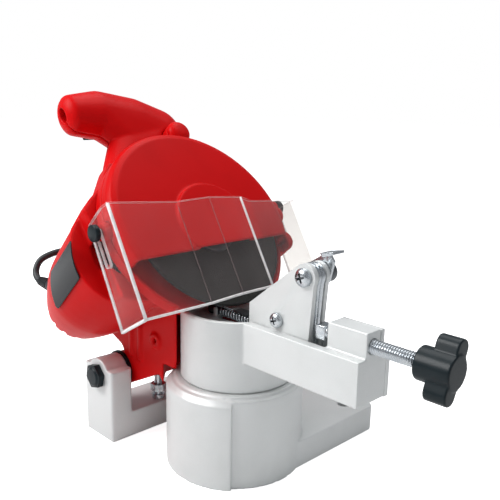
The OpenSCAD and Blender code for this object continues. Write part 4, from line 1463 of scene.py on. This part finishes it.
@dataclass(frozen=True)
class CrossHead(Bevelling):
    """A round-headed screw along Y, whose sunk cross gets dark steel as painted shade.

    The reach and the half width of the cross are shares of the head's width.
    """

    cross_turn: float = 20.0
    cross_reach: float = 0.27
    cross_half_width: float = 0.075
    head_height: float = 1.5 * MM
    sunk: float = 0.35 * MM

    def build(self, shop: Workshop) -> bpy.types.Object:
        """Makes the screw and paints shade on the floor of its cross in dark steel.

        Args:
            shop: the workshop.

        Returns:
            The screw.
        """
        piece = super().build(shop)
        mesh = piece.data
        spots = [vertex.co for vertex in mesh.vertices]
        front = min(spot.y for spot in spots)
        head = [spot for spot in spots if spot.y < front + self.head_height]
        middle_x = (min(spot.x for spot in head) + max(spot.x for spot in head)) / 2
        middle_z = (min(spot.z for spot in head) + max(spot.z for spot in head)) / 2
        width = max(spot.x for spot in spots) - min(spot.x for spot in spots)
        turn = math.radians(self.cross_turn)
        # Painted shade: faces at the floor of the cross get dark steel, standing in for the shade in the
        # recess.
        mesh.materials.append(shop.wardrobe.get(Finish.DARK))
        for face in mesh.polygons:
            x, z = face.center.x - middle_x, face.center.z - middle_z
            along = abs(x * math.cos(turn) + z * math.sin(turn)) / width
            across = abs(z * math.cos(turn) - x * math.sin(turn)) / width
            in_width = min(along, across) < self.cross_half_width
            in_reach = max(along, across) < self.cross_reach
            if in_width and in_reach and face.center.y > front + self.sunk:
                face.material_index = 1
        return piece


@dataclass(frozen=True)
class ClampThread:
    """The clamp screw about X, with its thread and flat ends."""

    start: float = 82.6 * MM
    end: float = 144.0 * MM
    axis: Pair = (-10.5 * MM, 109.7 * MM)
    radius: float = 4.0 * MM
    depth: float = 0.62 * MM
    pitch: float = 1.5 * MM
    flank: float = 1.15
    end_depth: float = 0.35
    sides: int = 28
    turn_steps: int = 8
    crease: float = 50.0

    def build(self, shop: Workshop) -> bpy.types.Object:
        """Cuts the thread, which is shallower in the first and last turn.

        Args:
            shop: the workshop.

        Returns:
            The screw.
        """
        count = int((self.end - self.start) / self.pitch * self.turn_steps)
        shape = bmesh.new()
        rings = []
        for i in range(count + 1):
            x = self.start + (self.end - self.start) * i / count
            fade = min(1.0, (x - self.start) / self.pitch, (self.end - x) / self.pitch)
            ring = []
            for k, (y, z) in enumerate(circle(1.0, self.sides)):
                phase = (x / self.pitch - k / self.sides) % 1.0
                cut = self.depth * (1 - abs(2 * phase - 1) * self.flank)
                radius = self.radius - max(0.0, cut) * max(self.end_depth, fade)
                ring.append(shape.verts.new((x, radius * y, radius * z)))
            rings.append(ring)
        skin(shape, rings, capped=True)
        bmesh.ops.recalc_face_normals(shape, faces=shape.faces)
        screw = shop.from_shape("clamp_screw_thread", shape)
        screw.data.transform(Matrix.Translation((0, *self.axis)))
        return shop.hang(screw, Finish.ZINC, "clamp_screw", ["clamp_screw"], self.crease)


def vise_piece(
    node: str, finish: Finish, body: str = "table", kind: type = Bevelling, edge: float = 0.45 * MM
) -> Bevelling:
    """A piece of the vise's plate stack.

    Args:
        node: the CAD node that it stands for.
        finish: its finish.
        body: the body it moves with.
        kind: Bevelling, or CrossHead for a screw with a cross.
        edge: width of its bevels in metres.

    Returns:
        The piece, yet to be built.
    """
    return kind(f"{node}_piece", node, finish, body, edge, crease=30.0)


@dataclass
class ChainVise(SubAssembly):
    """Plate stack, its screws, the pawl, the wedge and the clamp screw."""

    pieces: tuple[Buildable, ...] = (
        vise_piece("vise_front_plate", Finish.CAST),
        vise_piece("vise_back_plate", Finish.CAST),
        vise_piece("chain_guide_plate", Finish.ZINC),
        vise_piece("jaw_plate", Finish.ZINC, "jaw"),
        vise_piece("chain_stop_pawl", Finish.ZINC, "pawl", edge=0.25 * MM),
        vise_piece("clamp_wedge", Finish.ZINC, "wedge"),
        vise_piece("cross_nut", Finish.DARK),
        vise_piece("cross_screw", Finish.ZINC, kind=CrossHead, edge=0.25 * MM),
        vise_piece("pan_screw", Finish.ZINC, kind=CrossHead, edge=0.25 * MM),
        ClampThread(),
        Moulding("clamp_knob_body", "clamp_knob", Finish.BLACK, "clamp_screw", cell=0.45 * MM, passes=6),
    )


# ---------------------------------------------------------------- grinding head


@dataclass
class GrindingHead(SubAssembly):
    """Red housing with its nameplate, switch and screws."""

    pieces: tuple[Buildable, ...] = (
        Moulding("guard_shell", "guard_cover", Finish.RED, "head", cell=0.7 * MM, passes=5),
        Moulding("gear_case_shell", "gear_case", Finish.RED, "head", cell=0.7 * MM, passes=3),
        Moulding("motor_housing", "motor_shell", Finish.RED, "head", cell=0.9 * MM, passes=6),
        Moulding("grip_back", "grip_cover", Finish.RED, "head", cell=0.9 * MM, passes=6, keep=0.4),
        Moulding("blank_nameplate", "blank_plate", Finish.GLOSS, "head", cell=0.28 * MM, passes=4, keep=0.4),
        Bevelling("rocker_bezel", "rocker_frame", Finish.BLACK, "head", width=0.4 * MM),
        Bevelling("rocker_paddle", "rocker_key", Finish.BLACK, "rocker", width=0.4 * MM),
        Bevelling("visor_thumb_screws", "visor_screws", Finish.BLACK, "head", width=0.6 * MM, steps=3),
    )
    kept_nodes: tuple[tuple[Finish, tuple[str, ...]], ...] = (
        (Finish.BLACK, ("hinge_washers", "brush_holders")),
        (Finish.ZINC, ("housing_screws", "stop_bolt", "stop_nut", "bearings")),
    )


@dataclass
class Drive(SubAssembly):
    """Grinding disc, flanges, gears and motor."""

    pieces: tuple[Buildable, ...] = (
        Bevelling("grinding_wheel", "grinding_disc", Finish.GRIT, "spindle", width=0.35 * MM, crease=30.0),
        Bevelling("inner_flange_piece", "inner_flange", Finish.DARK, "spindle", width=0.4 * MM, crease=30.0),
        Bevelling("outer_flange_piece", "outer_flange", Finish.DARK, "spindle", width=0.4 * MM, crease=30.0),
        Bevelling("spindle_nut_piece", "spindle_nut", Finish.DARK, "spindle", width=0.4 * MM, crease=30.0),
    )
    kept_nodes: tuple[tuple[Finish, tuple[str, ...]], ...] = (
        (Finish.DARK, ("spindle_gear", "rotor")),
        (Finish.COPPER, ("stator",)),
    )


# ---------------------------------------------------------------- visor


@dataclass(frozen=True)
class SheetFrame:
    """The visor sheet's own frame, in millimetres: out from the hinge, side and up."""

    centre_mm: Point = (-28.5, -1.0, 147.7)
    tilt: float = 30.4

    def spot(self, out: float, side: float, up: float) -> Vector:
        """A point of the sheet as a point of the world.

        Args:
            out: distance out, in millimetres.
            side: distance to the side, in millimetres.
            up: distance up, in millimetres.

        Returns:
            The point in metres.
        """
        cosine, sine = math.cos(math.radians(self.tilt)), math.sin(math.radians(self.tilt))
        across = Vector((out * cosine - up * sine, side, out * sine + up * cosine))
        return (Vector(self.centre_mm) + across) * MM


@dataclass(frozen=True)
class Bead:
    """A rounded bead along a bend or an edge of the sheet, whose finish paints the light there."""

    name: str
    radius: float
    finish: Finish
    corners_mm: tuple[Point, ...]
    frame: SheetFrame = SheetFrame()
    steps: int = 8
    sides: int = 8

    def build(self, shop: Workshop) -> bpy.types.Object:
        """Draws the bead from corner to corner.

        Args:
            shop: the workshop.

        Returns:
            The bead.
        """
        path = []
        for start, end in zip(self.corners_mm, self.corners_mm[1:]):
            for i in range(self.steps):
                path.append(self.frame.spot(*(a + (b - a) * i / self.steps for a, b in zip(start, end))))
        path.append(self.frame.spot(*self.corners_mm[-1]))
        bead = shop.tube(self.name, path, self.radius, self.sides)
        return shop.hang(bead, self.finish, "visor", (), None)


@dataclass(frozen=True)
class VisorSheet(Bevelling):
    """The folded sheet: its narrow faces get the painted highlight, and the far wing a greyer copy of the
    clear finish as painted reflection.
    """

    finishes: tuple[Finish, ...] = (Finish.CLEAR, Finish.HIGHLIGHT_EDGE, Finish.WING_REFLECTION)
    edge_width: float = 2.4 * MM
    wing_start: float = 33.8 * MM

    def build(self, shop: Workshop) -> bpy.types.Object:
        """Makes the sheet and gives each face its finish.

        Args:
            shop: the workshop.

        Returns:
            The sheet.
        """
        piece = shop.bevelled(self.name, self.node, self.width, self.steps)
        piece.data.materials.clear()
        for finish in self.finishes:
            piece.data.materials.append(shop.wardrobe.get(finish))
        for face in piece.data.polygons:
            face.material_index = self.finishes.index(self.finish_of(piece.data, face))
        return shop.hang(piece, self.finish, self.body, [self.node], self.crease)

    def finish_of(self, mesh: bpy.types.Mesh, face: bpy.types.MeshPolygon) -> Finish:
        """The finish of one face.

        Args:
            mesh: the sheet's mesh.
            face: one of its faces.

        Returns:
            HIGHLIGHT_EDGE where the face is narrow, else WING_REFLECTION or CLEAR.
        """
        corners = [mesh.vertices[i].co for i in face.vertices]
        longest = max((corners[i] - corners[i - 1]).length for i in range(len(corners)))
        # Narrow faces get the painted highlight.
        if face.area / longest < self.edge_width:
            return Finish.HIGHLIGHT_EDGE
        # Faces past wing_start get the greyer copy, a painted reflection.
        return Finish.WING_REFLECTION if face.center.y > self.wing_start else Finish.CLEAR


# The sheet's foot and its left bend, in the sheet's own frame.
VISOR_FOOT_MM = -48.4
VISOR_LEFT_MM = -74.9


@dataclass
class Visor(SubAssembly):
    """Clear folded visor with beads along its bends and cut edges, which carry painted highlights and painted
    reflection lines.
    """

    pieces: tuple[Buildable, ...] = (
        VisorSheet("visor_sheet", "visor", Finish.CLEAR, "visor", width=0.3 * MM, crease=30.0),
        Bead("visor_bend_left", 1.05 * MM, Finish.HIGHLIGHT_EDGE, (
            (12.2, VISOR_LEFT_MM, VISOR_FOOT_MM), (12.2, VISOR_LEFT_MM, 21.4),
        )),
        # The two middle bends carry the painted dark reflection line.
        Bead("visor_bend_slope", 0.30 * MM, Finish.FAINT, (
            (12.8, -27.2, VISOR_FOOT_MM), (12.8, -27.2, 17.4),
        )),
        Bead("visor_bend_ridge", 0.25 * MM, Finish.FAINT, (
            (19.7, -6.9, VISOR_FOOT_MM), (19.7, -6.9, 15.6),
        )),
        Bead("visor_bend_right", 0.75 * MM, Finish.HIGHLIGHT_EDGE, (
            (19.4, 19.3, VISOR_FOOT_MM), (19.4, 19.3, 13.3),
        )),
        Bead("visor_foot_front", 0.85 * MM, Finish.HIGHLIGHT_EDGE, (
            (12, -75, VISOR_FOOT_MM), (12, -27.2, VISOR_FOOT_MM), (19, -6.9, VISOR_FOOT_MM),
            (19, 19.3, VISOR_FOOT_MM), (12, 33.8, VISOR_FOOT_MM), (12, 73, VISOR_FOOT_MM),
        )),
        Bead("visor_foot_flap", 1.05 * MM, Finish.HIGHLIGHT_EDGE, (
            (12, VISOR_LEFT_MM, VISOR_FOOT_MM), (-14.2, VISOR_LEFT_MM, VISOR_FOOT_MM),
        )),
        Bead("visor_flap_edge", 0.75 * MM, Finish.HIGHLIGHT_EDGE, (
            (-14.3, VISOR_LEFT_MM, VISOR_FOOT_MM), (-12.4, VISOR_LEFT_MM, 16.6),
        )),
    )


# ---------------------------------------------------------------- main


def main() -> None:
    """Builds the whole scene."""
    logging.basicConfig(level=logging.INFO, format="%(message)s")
    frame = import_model()
    shop = Workshop(frame)
    Studio().build(shop)
    MainsLead().build(shop)
    CastBase().build(shop)
    SwivelTable().build(shop)
    ChainVise().build(shop)
    GrindingHead().build(shop)
    Drive().build(shop)
    Visor().build(shop)


if __name__ == "__main__":
    main()
